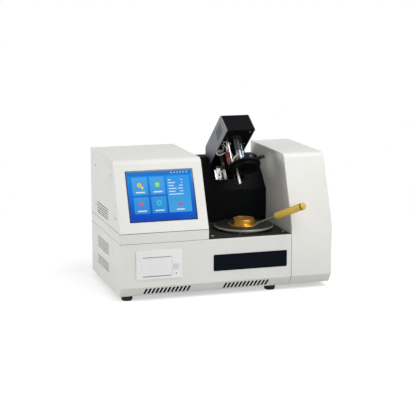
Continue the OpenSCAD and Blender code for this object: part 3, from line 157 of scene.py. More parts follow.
# drawn or ground metal: long streaks across the given direction, with small dark marks
def makeStreakGroup():
    tree, given, result = newTree(
        "metalStreaks", "ShaderNodeTree",
        [("Vector", "NodeSocketVector", None), ("Stretch", "NodeSocketVector", (1, 1, 1)),
         ("Base", "NodeSocketColor", (0.6, 0.6, 0.6, 1)), ("Dark", "NodeSocketColor", (0.4, 0.4, 0.4, 1)),
         ("Streak", "NodeSocketFloat", 0.4), ("Roughness", "NodeSocketFloat", 0.3)],
        textureOutputs)
    stretched = addNode(tree, "ShaderNodeVectorMath",
                        {0: given["Vector"], 1: given["Stretch"]}, operation="MULTIPLY").outputs[0]
    lines = noise(tree, stretched, 420.0, 3.0, 0.7)
    spots = span(tree, noise(tree, given["Vector"], 120.0, 4.0, 0.7), 0.56, 0.74)
    amount = math2(tree, "MULTIPLY", math2(tree, "ADD", span(tree, lines, 0.35, 0.7),
                                           math2(tree, "MULTIPLY", spots, 0.6)),
                   given["Streak"])
    color = blendColor(tree, amount, given["Base"], given["Dark"])
    rough = math2(tree, "ADD", given["Roughness"], math2(tree, "MULTIPLY", math2(tree, "SUBTRACT", lines, 0.45), 0.35))
    return linkTexture(tree, result, color, rough, lines)


# lathe marks: rings round the Z axis of the given coordinates, with heat or use stains
def makeTurnedGroup():
    tree, given, result = newTree(
        "latheMarks", "ShaderNodeTree",
        [("Vector", "NodeSocketVector", None), ("Base", "NodeSocketColor", (0.8, 0.6, 0.2, 1)),
         ("Dark", "NodeSocketColor", (0.3, 0.2, 0.1, 1)), ("Marks", "NodeSocketFloat", 0.4),
         ("Pitch Scale", "NodeSocketFloat", 1800.0), ("Stain", "NodeSocketFloat", 0.3),
         ("Roughness", "NodeSocketFloat", 0.2)],
        textureOutputs)
    flat = addNode(tree, "ShaderNodeVectorMath", {0: given["Vector"], 1: (1, 1, 0)}, operation="MULTIPLY")
    radius = addNode(tree, "ShaderNodeVectorMath", {0: flat.outputs[0]}, operation="LENGTH").outputs["Value"]
    depth = addNode(tree, "ShaderNodeSeparateXYZ", {0: given["Vector"]}).outputs["Z"]
    along = math2(tree, "MULTIPLY", math2(tree, "ADD", radius, depth), given["Pitch Scale"])
    rings = addNode(tree, "ShaderNodeTexNoise", {"W": along, "Scale": 1.0, "Detail": 3.0, "Roughness": 0.7},
                    noise_dimensions="1D").outputs["Fac"]
    stain = span(tree, noise(tree, given["Vector"], 60.0, 4.0, 0.6), 0.48, 0.75)
    amount = math2(tree, "ADD", math2(tree, "MULTIPLY", span(tree, rings, 0.35, 0.7), given["Marks"]),
                   math2(tree, "MULTIPLY", stain, given["Stain"]))
    color = blendColor(tree, amount, given["Base"], given["Dark"])
    rough = math2(tree, "ADD", given["Roughness"], math2(tree, "MULTIPLY", stain, 0.2))
    return linkTexture(tree, result, color, rough, rings)


# moulded plastic: even fine spark texture with faint flow tone
def makeMouldGroup():
    tree, given, result = newTree(
        "mouldedPlastic", "ShaderNodeTree",
        [("Vector", "NodeSocketVector", None), ("Base", "NodeSocketColor", (0.5, 0.5, 0.5, 1)),
         ("Shade", "NodeSocketColor", (0.4, 0.4, 0.4, 1)), ("Spark Scale", "NodeSocketFloat", 1600.0),
         ("Roughness", "NodeSocketFloat", 0.45)],
        textureOutputs)
    vector = given["Vector"]
    spark = noise(tree, vector, given["Spark Scale"], 2.0, 0.6)
    flow = span(tree, noise(tree, vector, 18.0, 3.0), 0.35, 0.7)
    color = blendColor(tree, math2(tree, "MULTIPLY", flow, 0.5), given["Base"], given["Shade"])
    rough = math2(tree, "ADD", given["Roughness"], math2(tree, "MULTIPLY", math2(tree, "SUBTRACT", spark, 0.5), 0.2))
    return linkTexture(tree, result, color, rough, spark)


paintGroup, streakGroup = makePaintGroup(), makeStreakGroup()
turnedGroup, mouldGroup = makeTurnedGroup(), makeMouldGroup()


def startMaterial(name, **fixed):
    material = bpy.data.materials.new(name)
    material.use_nodes = True
    tree = material.node_tree
    tree.nodes.clear()
    shader = addNode(tree, "ShaderNodeBsdfPrincipled", {key.replace("_", " "): value for key, value in fixed.items()})
    addNode(tree, "ShaderNodeOutputMaterial", {"Surface": shader.outputs["BSDF"]})
    coords = addNode(tree, "ShaderNodeTexCoord").outputs["Object"]
    return material, tree, shader, coords


def rgb(hexText, alpha=1.0):
    # a colour as it is seen on the screen, given to the shader in linear values
    parts = [int(hexText[i:i + 2], 16) / 255 for i in (0, 2, 4)]
    return tuple(c / 12.92 if c <= 0.04045 else ((c + 0.055) / 1.055) ** 2.4 for c in parts) + (alpha,)


def textured(name, group, inputs, bump, distance, fixed, axis=None):
    # axis is the frame whose Z the pattern goes round
    material, tree, shader, coords = startMaterial(name, **fixed)
    if axis is not None:
        inverse = axis.inverted()
        coords = addNode(tree, "ShaderNodeMapping", {
            "Vector": coords, "Location": inverse.translation, "Rotation": inverse.to_euler()},
            vector_type="POINT").outputs[0]
    texture = addNode(tree, "ShaderNodeGroup", {"Vector": coords, **inputs}, node_tree=group)
    tree.links.new(texture.outputs["Color"], shader.inputs["Base Color"])
    tree.links.new(texture.outputs["Roughness"], shader.inputs["Roughness"])
    normal = addNode(tree, "ShaderNodeBump", {
        "Strength": bump, "Distance": distance, "Height": texture.outputs["Height"]})
    tree.links.new(normal.outputs["Normal"], shader.inputs["Normal"])
    return material


def paint(name, base, shade, rough, mottle=0.35, bump=0.08, **fixed):
    return textured(name, paintGroup, {"Base": rgb(base), "Shade": rgb(shade), "Mottle": mottle, "Roughness": rough},
                    bump, 0.0004, fixed)


def metal(name, base, dark, rough, stretch=(1, 1, 0.04), streak=0.4, bump=0.06, **fixed):
    fixed.setdefault("Metallic", 1.0)
    return textured(name, streakGroup, {"Stretch": stretch, "Base": rgb(base), "Dark": rgb(dark), "Streak": streak,
                                        "Roughness": rough}, bump, 0.0002, fixed)


def turned(name, base, dark, rough, axis, marks=0.35, stain=0.25, pitch=1800.0, bump=0.1, **fixed):
    return textured(name, turnedGroup, {"Base": rgb(base), "Dark": rgb(dark), "Marks": marks, "Pitch Scale": pitch,
                                        "Stain": stain, "Roughness": rough}, bump, 0.0002, fixed, axis)


def plastic(name, base, shade, rough, spark=1600.0, bump=0.1, **fixed):
    return textured(name, mouldGroup, {"Base": rgb(base), "Shade": rgb(shade), "Spark Scale": spark,
                                       "Roughness": rough}, bump, 0.0002, fixed)


def frameOnAxis(x, y, z, direction):
    return Matrix.Translation(place(x, y, z)) @ Vector(direction).to_track_quat("Z", "Y").to_matrix().to_4x4()


handle = {"turn": -51.0, "rise": 24.0, "start": 38.0, "z": 155.9}
handleWay = Vector((math.cos(math.radians(handle["turn"])) * math.cos(math.radians(handle["rise"])),
                    math.sin(math.radians(handle["turn"])) * math.cos(math.radians(handle["rise"])),
                    math.sin(math.radians(handle["rise"]))))
handleFrame = frameOnAxis(cupAxis[0] + handle["start"] * math.cos(math.radians(handle["turn"])),
                          cupAxis[1] + handle["start"] * math.sin(math.radians(handle["turn"])), handle["z"], handleWay)

finishes = {
    "housing_paint": paint("housingPaint", "E4E3DE", "D8D7D1", 0.5, Specular_IOR_Level=0.35),
    "black_paint": paint("bayBlack", "0B0D0F", "15171A", 0.5, mottle=0.6, bump=0.12, Specular_IOR_Level=0.05),
    "deck_dark": paint("deckBrown", "2B2C27", "20211D", 0.45, mottle=0.6, bump=0.12, Specular_IOR_Level=0.1),
    "grey_paint": paint("armGrey", "8E9096", "7C7E84", 0.5, mottle=0.5, Specular_IOR_Level=0.35),
    "galvanised": metal("galvanisedSheet", "A9ACAE", "7E8285", 0.42, stretch=(1, 1, 1), streak=0.5),
    "bright_steel": metal("brightSteel", "C9C8C4", "85837F", 0.22, stretch=(1, 1, 0.06)),
    "alloy": metal("castAlloy", "A6A8AA", "737679", 0.36, stretch=(0.6, 0.6, 0.6), streak=0.35),
    "brass": turned("cupBrass", "DCAA46", "96661F", 0.17, stoveFrame, marks=0.18, stain=0.12, bump=0.015,
                    Metallic=0.85),
    "stove_iron": turned("stoveIron", "484A47", "2A2B2A", 0.36, stoveFrame, marks=0.5, stain=0.4, Metallic=0.7),
    "mica_band": paint("micaBand", "8A7A5C", "6B5D44", 0.5),
    "ceramic_white": plastic("ceramicWhite", "DCD8CC", "C4BFB0", 0.4, spark=700),
    "screen_glass": plastic("screenGlass", "0C2F66", "0A2652", 0.12, bump=0.0, Coat_Weight=0.6),
    "dark_plastic": plastic("darkPlastic", "2A2B2D", "202123", 0.42),
    "white_plastic": plastic("printerPlastic", "F0EEEE", "E4E2E2", 0.4, Specular_IOR_Level=0.4),
    "black_gloss": plastic("plateGloss", "0B1018", "080C13", 0.2, spark=300, bump=0.02, Specular_IOR_Level=0.06),
    "board_green": plastic("boardGreen", "1F5B35", "17472A", 0.4),
    "rubber_black": plastic("footRubber", "111111", "1B1B1B", 0.62, spark=500, bump=0.3),
    "coil_red": paint("coilLacquer", "6E2A20", "4C1B15", 0.3, mottle=0.8, Coat_Weight=0.5, Coat_Roughness=0.1),
    "wire_grey": plastic("wireSleeve", "B9B8AF", "9C9B92", 0.5, spark=800),
    "grip_gold": turned("gripLacquer", "DDBA4E", "B3913A", 0.38, handleFrame, marks=0.2, stain=0.25, pitch=700.0,
                        Metallic=0.1),
    "led_green": plastic("ledGreen", "3F5F3A", "2C4528", 0.2, spark=400, Coat_Weight=0.5),
    "paper_white": plastic("rollPaper", "F2F1EC", "E4E2DA", 0.8),
}
for name, node in frame["nodes"].items():
    node.data.materials.clear()
    node.data.materials.append(finishes[slotOf[name]])
frame["nodes"]["deck_plate"].data.materials[0] = finishes["deck_dark"]
frame["nodes"]["printer_led"].data.materials[0] = finishes["led_green"]
print("finishes made:", len(finishes))


# studio
def studio():
    scene = bpy.context.scene
    world = bpy.data.worlds.new("softRoom")
    scene.world = world
    world.use_nodes = True
    tree = world.node_tree
    tree.nodes.clear()
    light = addNode(tree, "ShaderNodeLightPath")
    seen = math2(tree, "MAXIMUM", light.outputs["Is Camera Ray"], light.outputs["Is Transmission Ray"])
    room = addNode(tree, "ShaderNodeBackground", {"Color": (0.95, 0.97, 1.0, 1), "Strength": 0.42})
    white = addNode(tree, "ShaderNodeBackground", {"Color": (1, 1, 1, 1), "Strength": 1.0})
    mixed = addNode(tree, "ShaderNodeMixShader", {0: seen, 1: room.outputs[0], 2: white.outputs[0]})
    addNode(tree, "ShaderNodeOutputWorld", {"Surface": mixed.outputs[0]})

    floorMesh = bpy.data.meshes.new("benchFloor")
    reach = 9.0
    floorMesh.from_pydata([(-reach, -reach, 0), (reach, -reach, 0), (reach, reach, 0), (-reach, reach, 0)], [],
                          [(0, 1, 2, 3)])
    floor = bpy.data.objects.new("benchFloor", floorMesh)
    scene.collection.objects.link(floor)
    material = bpy.data.materials.new("paleBench")
    material.use_nodes = True
    tree = material.node_tree
    tree.nodes.clear()
    light = addNode(tree, "ShaderNodeLightPath")
    coords = addNode(tree, "ShaderNodeTexCoord").outputs["Object"]
    away = addNode(tree, "ShaderNodeVectorMath", {0: coords}, operation="LENGTH").outputs["Value"]
    grain = blendColor(tree, noise(tree, coords, 300.0, 3.0), (0.6, 0.6, 0.6, 1), (0.64, 0.64, 0.64, 1))
    matt = addNode(tree, "ShaderNodeBsdfDiffuse", {"Color": grain})
    glow = addNode(tree, "ShaderNodeEmission", {"Color": (1, 1, 1, 1), "Strength": 0.52})
    lifted = addNode(tree, "ShaderNodeAddShader", {0: matt.outputs[0], 1: glow.outputs[0]})
    white = addNode(tree, "ShaderNodeEmission", {"Color": (1, 1, 1, 1), "Strength": 1.0})
    faded = addNode(tree, "ShaderNodeMixShader", {0: span(tree, away, 0.55, 1.1), 1: lifted.outputs[0],
                                                  2: white.outputs[0]})
    shown = addNode(tree, "ShaderNodeMixShader", {0: light.outputs["Is Camera Ray"], 1: matt.outputs[0],
                                                  2: faded.outputs[0]})
    addNode(tree, "ShaderNodeOutputMaterial", {"Surface": shown.outputs[0]})
    floorMesh.materials.append(material)

    def lamp(name, at, to, width, height, power):
        data = bpy.data.lights.new(name, "AREA")
        data.shape = "RECTANGLE"
        data.size, data.size_y, data.energy = width, height, power
        obj = bpy.data.objects.new(name, data)
        scene.collection.objects.link(obj)
        obj.location = at
        obj.rotation_euler = (Vector(to) - Vector(at)).to_track_quat("-Z", "Y").to_euler()

    lamp("skyPanel", (0.75, -0.9, 2.0), (0, 0, 0.2), 2.0, 1.6, 36)
    lamp("frontPanel", (0.2, -2.6, 0.8), (0.05, 0, 0.2), 1.4, 0.9, 10)
    lamp("leftPanel", (-2.0, 0.3, 0.75), (-0.26, 0.05, 0.32), 1.0, 0.5, 17)


studio()
print("studio lit")


partFrame = Matrix.Translation(place(0, 0, 0))


# mesh helpers
def newObject(name, mesh, finish=None):
    obj = bpy.data.objects.new(name, mesh)
    bpy.context.scene.collection.objects.link(obj)
    if finish is not None:
        for one in (finish if isinstance(finish, (list, tuple)) else [finish]):
            mesh.materials.append(one)
    return obj


def meshFrom(bm, name, angle=35.0):
    bmesh.ops.remove_doubles(bm, verts=bm.verts, dist=1e-6)
    bmesh.ops.recalc_face_normals(bm, faces=bm.faces)
    mesh = bpy.data.meshes.new(name)
    bm.to_mesh(mesh)
    bm.free()
    mesh.shade_smooth()
    mesh.set_sharp_from_angle(angle=math.radians(angle))
    return mesh


def finishPiece(bm, name, finish, body, instead=(), angle=35.0):
    obj = newObject(name, meshFrom(bm, name, angle), finish)
    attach(obj, body)
    if instead:
        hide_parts(*instead)
    return obj


def softCopy(node, body, width=0.9, keepSharp=(), angle=32.0):
    # the sheet-metal or moulded piece of that node with its edges rounded, but not inside the boxes in keepSharp
    bm = bmesh.new()
    bm.from_mesh(frame["nodes"][node].data)
    bmesh.ops.remove_doubles(bm, verts=bm.verts, dist=2e-6)
    bmesh.ops.dissolve_limit(bm, angle_limit=math.radians(0.5), verts=bm.verts, edges=bm.edges)
    weight = bm.edges.layers.float.new("bevel_weight_edge")
    back = armUp.inverted() if body in ("lift_arm", "shutter", "igniter") else Matrix.Identity(4)
    zones = [(place(*low), place(*high)) for low, high in keepSharp]
    for edge in bm.edges:
        ends = [back @ vert.co for vert in edge.verts]
        inside = any(all(low[k] <= end[k] <= high[k] for end in ends for k in range(3)) for low, high in zones)
        folded = edge.is_manifold and edge.calc_face_angle(0) > math.radians(angle)
        edge[weight] = 1.0 if folded and not inside else 0.0
        edge.smooth = not folded
    mesh = bpy.data.meshes.new(node + "Soft")
    bm.to_mesh(mesh)
    bm.free()
    obj = newObject(node + "Soft", mesh, finishes["deck_dark"] if node == "deck_plate" else finishes[slotOf[node]])
    mesh.polygons.foreach_set("use_smooth", [True] * len(mesh.polygons))
    bevel = obj.modifiers.new("softEdges", "BEVEL")
    bevel.width = width * mm
    bevel.segments = 2
    bevel.limit_method = "WEIGHT"
    bevel.harden_normals = True
    bevel.use_clamp_overlap = True
    bevel.miter_outer = "MITER_ARC"
    flat = obj.modifiers.new("flatFaces", "WEIGHTED_NORMAL")
    flat.mode = "FACE_AREA"
    flat.weight = 80
    flat.keep_sharp = True
    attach(obj, body)
    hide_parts(node)
    return obj


def lathe(name, profile, axis, finish, body, segments=128, instead=(), faces=None):
    # profile is (radius, height) pairs in mm round the Z of the given frame; faces gives a slot per profile step
    bm = bmesh.new()
    rings = []
    for radius, height in profile:
        if radius < 1e-6:
            rings.append([bm.verts.new(axis @ Vector((0, 0, height * mm)))])
        else:
            rings.append([bm.verts.new(axis @ Vector((radius * mm * math.cos(2 * math.pi * i / segments),
                                                      radius * mm * math.sin(2 * math.pi * i / segments), height * mm)))
                          for i in range(segments)])
    closed = len(rings[0]) > 1 and len(rings[-1]) > 1
    pairs = list(zip(rings, rings[1:])) + ([(rings[-1], rings[0])] if closed else [])
    for step, (low, high) in enumerate(pairs):
        for i in range(segments):
            j = (i + 1) % segments
            if len(low) == 1:
                face = bm.faces.new((low[0], high[j], high[i]))
            elif len(high) == 1:
                face = bm.faces.new((low[i], low[j], high[0]))
            else:
                face = bm.faces.new((low[i], low[j], high[j], high[i]))
            if faces:
                face.material_index = faces[min(step, len(faces) - 1)]
    return finishPiece(bm, name, finish, body, instead)


def arc(cx, cz, radius, start, stop, steps=5):
    return [(cx + radius * math.cos(math.radians(start + (stop - start) * i / steps)),
             cz + radius * math.sin(math.radians(start + (stop - start) * i / steps))) for i in range(steps + 1)]


def addBlock(bm, low, high, matrix, soft=0.0, slot=0):
    # a box from low to high in the frame's own mm, with its edges softened
    corners = [bm.verts.new((x, y, z)) for x in (low[0], high[0]) for y in (low[1], high[1]) for z in (low[2], high[2])]
    sides = ((0, 1, 3, 2), (4, 6, 7, 5), (0, 4, 5, 1), (2, 3, 7, 6), (0, 2, 6, 4), (1, 5, 7, 3))
    before = set(bm.faces)
    made = [bm.faces.new([corners[i] for i in side]) for side in sides]
    verts = set(corners)
    if soft:
        edges = {edge for face in made for edge in face.edges}
        bmesh.ops.bevel(bm, geom=list(edges), offset=soft, segments=2, affect="EDGES", profile=0.5)
        made = [face for face in bm.faces if face not in before]
        verts = {vert for face in made for vert in face.verts}
    for face in made:
        face.material_index = slot
    for vert in verts:
        vert.co = matrix @ (vert.co * mm)


def curveTube(name, points, radius, finish, body):
    curve = bpy.data.curves.new(name, "CURVE")
    curve.dimensions = "3D"
    curve.bevel_depth = radius * mm
    curve.bevel_resolution = 5
    curve.resolution_u = 16
    curve.use_fill_caps = True
    spline = curve.splines.new("BEZIER")
    spline.bezier_points.add(len(points) - 1)
    for point, at in zip(spline.bezier_points, points):
        point.co = at
        point.handle_left_type = point.handle_right_type = "AUTO"
    drawn = bpy.data.objects.new(name + "Path", curve)
    bpy.context.scene.collection.objects.link(drawn)
    bpy.context.view_layer.update()
    mesh = bpy.data.meshes.new_from_object(drawn.evaluated_get(bpy.context.evaluated_depsgraph_get()))
    bpy.data.objects.remove(drawn)
    bpy.data.curves.remove(curve)
    bm = bmesh.new()
    bm.from_mesh(mesh)
    bpy.data.meshes.remove(mesh)
    return finishPiece(bm, name, finish, body, angle=60)


# covers and sheet parts with the small radii that folding and spraying leave
softWidths = {
    "housing": {"base_shell": 1.0, "head_plinth": 0.9, "head_cover": 1.0, "pod_cover": 1.0, "column_cover": 1.0,
                "deck_plate": 0.5, "printer_bezel": 0.6, "nameplate": 0.35, "hinge_cheeks": 0.5, "base_rear_panel": 0.4,
                "head_rear_panel": 0.4, "pod_rear_panel": 0.4, "inlet_socket": 0.3},
    "lift_arm": {"arm_cover": 1.0, "arm_sides": 0.7, "arm_base_plate": 0.5, "lid_plate": 0.35, "igniter_bracket": 0.25},
    "printer_door": {"printer_door": 0.5},
    "feed_key": {"feed_button": 0.3},
    "power_switch": {"power_rocker": 0.3},
    "shutter": {"shutter_plate": 0.2},
    "igniter": {"igniter_lever": 0.25},
}
# edges of louvres and slots stay as they were cut
slotZones = {
    "base_shell": [((-1, -1, 13.5), (426, 17.5, 34.2)), ((-1, 110, 40), (3, 245, 136)),
                   ((420, 195, 38), (426, 265, 86))],
    "head_cover": [((-1, 110, 170), (3, 245, 204)), ((213, 110, 170), (217, 245, 204))],
    "arm_sides": [((290, 100, 262), (385, 152, 294))],
}
softened = {}
for body, widths in softWidths.items():
    for node, width in widths.items():
        softened[node] = softCopy(node, body, width, slotZones.get(node, ()))
print("covers softened:", len(softened))

# stove disc, cup and its handle
cup = {"bore": 25.4, "outer": 27.0, "flange": 39.5, "seat": 150.0, "flangeT": 2.8, "rim": 165.5, "bottom": 107.1,
       "floor": 109.5, "fill": 143.7}
cupProfile = [
    (0, cup["bottom"]), (cup["outer"] - 2, cup["bottom"]), (cup["outer"], cup["bottom"] + 2),
    (cup["outer"], cup["seat"]),
    (cup["flange"] - 0.5, cup["seat"]), (cup["flange"], cup["seat"] + 0.5),
    (cup["flange"], cup["seat"] + cup["flangeT"] - 0.6),
    (cup["flange"] - 0.6, cup["seat"] + cup["flangeT"]), (cup["outer"] + 1.2, cup["seat"] + cup["flangeT"]),
    (cup["outer"] + 0.3, cup["seat"] + cup["flangeT"] + 0.35), (cup["outer"], cup["seat"] + cup["flangeT"] + 1.2),
    (cup["outer"], cup["rim"] - 3.4), (cup["outer"] - 0.35, cup["rim"] - 3.1), (cup["outer"] - 0.35, cup["rim"] - 0.7),
    (cup["outer"] - 0.75, cup["rim"] - 0.15), (cup["outer"] - 1.0, cup["rim"]), (cup["bore"] + 0.25, cup["rim"]),
    (cup["bore"], cup["rim"] - 0.25), (cup["bore"], cup["fill"] + 0.5), (cup["bore"] + 0.5, cup["fill"]),
    (cup["bore"], cup["fill"] - 0.5), (cup["bore"], cup["floor"] + 2), (cup["bore"] - 0.6, cup["floor"] + 0.6),
    (cup["bore"] - 2, cup["floor"]), (0, cup["floor"])]
# the inside of the cup is a brighter, less metallic copy of the brass with strong upright streaks: painted light
# against the shade inside and painted highlight streaks
cupInsidePaintedLight = metal("cupInsidePaintedLight", "F8D088", "94622A", 0.28, stretch=(0.5, 0.5, 0.02), streak=0.9, bump=0.02, Metallic=0.7)
lathe("turnedCup", cupProfile, stoveFrame, [finishes["brass"], cupInsidePaintedLight], "cup", 160, ["test_cup"],
      faces=[0] * 17 + [1] * 7)
disc = {"outer": 73.0, "hole": 28.0, "low": 145.0, "high": 150.0}
discRim = turned("discRim", "B8B6A8", "7E7C70", 0.34, stoveFrame, marks=0.3, stain=0.4, Metallic=0.6)
lathe("turnedDisc", [
    (disc["hole"], disc["low"]), (disc["outer"] - 1, disc["low"]), (disc["outer"], disc["low"] + 1),
    (disc["outer"], disc["high"] - 1.1), (disc["outer"] - 0.35, disc["high"] - 0.4),
    (disc["outer"] - 1.1, disc["high"]),
    (disc["outer"] - 6.0, disc["high"]), (disc["outer"] - 6.4, disc["high"] - 0.25),
    (disc["outer"] - 6.8, disc["high"]),
    (disc["hole"] + 0.5, disc["high"]), (disc["hole"], disc["high"] - 0.5)],
    stoveFrame, [finishes["stove_iron"], discRim], "housing", 200, ["stove_disc"], faces=[0, 1, 1, 1, 1] + [0] * 6)
rod = {"length": 60.0}
grip = {"radius": 9.0, "length": 86.0, "round": 4.0}
gripProfile = [(0, 0), (grip["radius"] - 1.5, 0.0)] + arc(grip["radius"] - 1.5, 1.5, 1.5, -90, 0, 4)
gripProfile += [(grip["radius"], 76.2), (grip["radius"] - 0.35, 76.5), (grip["radius"] - 0.75, 77.2),
                (grip["radius"] - 0.75, 78.8), (grip["radius"] - 0.35, 79.5), (grip["radius"], 79.8)]
gripProfile += arc(grip["radius"] - grip["round"], grip["length"] - grip["round"], grip["round"], 0, 90, 6)
gripProfile += [(3.2, grip["length"]), (3.0, grip["length"] - 0.3), (2.2, grip["length"] - 1.2),
                (0, grip["length"] - 1.4)]
gripFrame = handleFrame @ Matrix.Translation((0, 0, rod["length"] * mm))
ringBrown = plastic("ringBrown", "5B431C", "3E2D12", 0.5, spark=600)
lathe("turnedGrip", gripProfile, gripFrame, [finishes["grip_gold"], ringBrown], "cup", 64, ["cup_grip"],
      faces=[0] * 7 + [1] * 5 + [0] * 20)
print("cup, disc and grip turned")

# screen: the pale panel behind the slab and what it shows
screen = {"x": 27.0, "up": 26.0, "width": 165.0, "height": 124.0, "foot": 165.2, "run": 68.0, "rise": 161.8,
          "edge": 3.0}
faceTilt = math.atan2(screen["rise"], screen["run"])


def onFace(u, v, w):
    # u across the head from its left side, v up the sloping face, w out of it, all in mm
    y = v * math.cos(faceTilt) - w * math.sin(faceTilt)
    z = screen["foot"] + v * math.sin(faceTilt) + w * math.cos(faceTilt)
    return place(u, y, z)


def roundedOutline(low, high, radius, steps=5):
    # corner points of a rounded rectangle, anticlockwise
    outline = []
    for cx, cy, start in ((high[0] - radius, low[1] + radius, -90), (high[0] - radius, high[1] - radius, 0),
                          (low[0] + radius, high[1] - radius, 90), (low[0] + radius, low[1] + radius, 180)):
        outline += arc(cx, cy, radius, start, start + 90, steps)
    return outline


def addPatch(bm, outline, lift, slot):
    # a flat raised patch on the screen, u and v from the screen's lower left corner
    u0, v0 = screen["x"], screen["up"]
    top = [bm.verts.new(onFace(u0 + u, v0 + v, lift)) for u, v in outline]
    low = [bm.verts.new(onFace(u0 + u, v0 + v, lift - 0.04)) for u, v in outline]
    bm.faces.new(top).material_index = slot
    for i in range(len(top)):
        j = (i + 1) % len(top)
        bm.faces.new((top[j], top[i], low[i], low[j])).material_index = slot


def addTile(bm, low, high, radius, lift, slot):
    addPatch(bm, roundedOutline(low, high, radius), lift, slot)


def addCog(bm, cx, cy, points, root, turn, slot):
    # a toothed wheel, 6.2 mm to the tip of a tooth
    outline = []
    for i in range(points):
        reach = 6.2 * (1.0 if i % 4 < 2 else root)
        angle = i * 2 * math.pi / points + turn
        outline.append((cx + reach * math.cos(angle), cy + reach * math.sin(angle)))
    addPatch(bm, outline, -0.18, slot)


def glowing(name, low, high, strength, bands=0.12):
    # a lit part of the screen: tone runs from low to high up the face, with a faint row pattern
    material, tree, shader, coords = startMaterial(name, Roughness=0.2, Specular_IOR_Level=0.06,
                                                   Emission_Strength=strength)
    height = addNode(tree, "ShaderNodeSeparateXYZ", {0: coords}).outputs["Z"]
    bottom = onFace(0, screen["up"], 0).z
    top = onFace(0, screen["up"] + screen["height"], 0).z
    tone = math2(tree, "ADD", span(tree, height, bottom, top),
                 span(tree, noise(tree, coords, 14.0, 2.0), 0.3, 0.7, -bands, bands))
    color = blendColor(tree, tone, rgb(low), rgb(high))
    tree.links.new(color, shader.inputs["Emission Color"])
    tree.links.new(blendColor(tree, tone, rgb("04070C"), rgb("070B12")), shader.inputs["Base Color"])
    return material


screenTones = [glowing("screenField", "0A48C0", "1090E8", 0.95), glowing("screenTile", "2C86D6", "4CA8EC", 0.95),
               glowing("screenTall", "4AA4E0", "2C98EC", 0.95), glowing("screenPale", "C8E4F8", "E8F6FF", 0.9),
               glowing("screenYellow", "E6C832", "F2DC50", 0.9), glowing("screenGreen", "35C84A", "6AE060", 0.9),
               glowing("screenRed", "E0465A", "F06A70", 0.85), glowing("screenCyan", "28C8E8", "40D8F4", 0.9),
               glowing("screenDeep", "0E66C4", "1278D0", 0.9)]


def makeScreenImage():
    bm = bmesh.new()
    edge, width, height = screen["edge"], screen["width"], screen["height"]
    addTile(bm, (edge, edge), (width - edge, height - edge), 0.8, -0.24, 0)
    addTile(bm, (edge + 0.4, height - 13), (width - edge - 0.4, height - edge - 0.4), 0.6, -0.22, 8)
    for left, foot, right, top in ((14, 65, 51, 108), (57, 65, 93, 108), (14, 20, 51, 60), (57, 20, 93, 60)):
        addTile(bm, (left, foot), (right, top), 3.0, -0.20, 1)
        middle = (left + right) / 2
        addTile(bm, (middle - 11, foot + 5.0), (middle + 11, foot + 8.2), 1.2, -0.18, 3)
    addTile(bm, (98, 20), (154, 108), 3.0, -0.20, 2)
    cx, cy = 31.5, 89.0
    addCog(bm, cx, cy, 32, 0.72, 0.0, 4)
    addTile(bm, (cx + 3.4, cy - 9.5), (cx + 9.4, cy - 3.5), 1.5, -0.165, 4)
    addTile(bm, (cx - 2.0, cy - 2.0), (cx + 2.0, cy + 2.0), 1.9, -0.165, 1)
    addTile(bm, (69.0, 82.0), (81.0, 95.0), 1.6, -0.18, 5)
    for row in range(3):
        addTile(bm, (71.2, 84.8 + 3 * row), (78.8, 86.0 + 3 * row), 0.4, -0.165, 3)
    addCog(bm, 32.5, 44, 24, 0.62, 0.13, 6)
    addTile(bm, (30.8, 42.3), (34.2, 45.7), 1.6, -0.165, 1)
    addTile(bm, (69.0, 38.0), (81.0, 51.0), 4.4, -0.18, 7)
    addTile(bm, (72.2, 41.4), (77.8, 47.6), 2.4, -0.165, 1)
    addTile(bm, (116, 25.0), (136, 28.4), 1.3, -0.18, 3)
    addTile(bm, (122, 35.0), (130, 43.0), 3.6, -0.18, 6)
    # rows of the status list, then the small marks in the top strip
    for row, (long, short) in enumerate(((7, 4), (17, 3), (13, 9), (19, 12), (16, 8), (30, 6))):
        level = 97.5 - 7.0 * row
        addTile(bm, (102, level), (102 + long, level + 2.2), 0.8, -0.18, 3)
        addTile(bm, (137 - short, level), (137, level + 1.9), 0.7, -0.18, 3)
    for i in range(6):
        addTile(bm, (110 + 7.6 * i, 115.6), (113.6 + 7.6 * i, 117.2), 0.6, -0.20, 3)
    finishPiece(bm, "screenImage", screenTones, "housing", angle=30)


makeScreenImage()
print("screen drawn")


# repeated parts made with geometry nodes
def bakeNodes(name, tree, seeds, body, values, angle=35.0):
    # runs the tree on a mesh of points that carry their own vectors and sizes, and keeps the plain result
    mesh = bpy.data.meshes.new(name + "Points")
    mesh.from_pydata([row["at"] for row in seeds], [], [])
    for key in seeds[0]:
        if key == "at":
            continue
        kind = "FLOAT_VECTOR" if isinstance(seeds[0][key], (tuple, Vector)) else "FLOAT"
        attribute = mesh.attributes.new(key, kind, "POINT")
        for i, row in enumerate(seeds):
            if kind == "FLOAT_VECTOR":
                attribute.data[i].vector = row[key]
            else:
                attribute.data[i].value = row[key]
    host = newObject(name + "Host", mesh)
    modifier = host.modifiers.new("build", "NODES")
    modifier.node_group = tree
    for socket in tree.interface.items_tree:
        if socket.in_out == "INPUT" and socket.name in values:
            modifier[socket.identifier] = values[socket.name]
    bpy.context.view_layer.update()
    built = bpy.data.meshes.new_from_object(host.evaluated_get(bpy.context.evaluated_depsgraph_get()))
    bpy.data.objects.remove(host)
    built.name = name
    obj = newObject(name, built)
    built.shade_smooth()
    built.set_sharp_from_angle(angle=math.radians(angle))
    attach(obj, body)
    return obj


def fieldOf(tree, name, kind):
    return addNode(tree, "GeometryNodeInputNamedAttribute", {"Name": name}, data_type=kind).outputs[0]


def aimed(tree):
    facing = fieldOf(tree, "facing", "FLOAT_VECTOR")
    return addNode(tree, "FunctionNodeAlignRotationToVector", {"Vector": facing}, axis="Z").outputs[0]


def leaned(tree):
    return addNode(tree, "FunctionNodeEulerToRotation", {0: fieldOf(tree, "lean", "FLOAT_VECTOR")}).outputs[0]


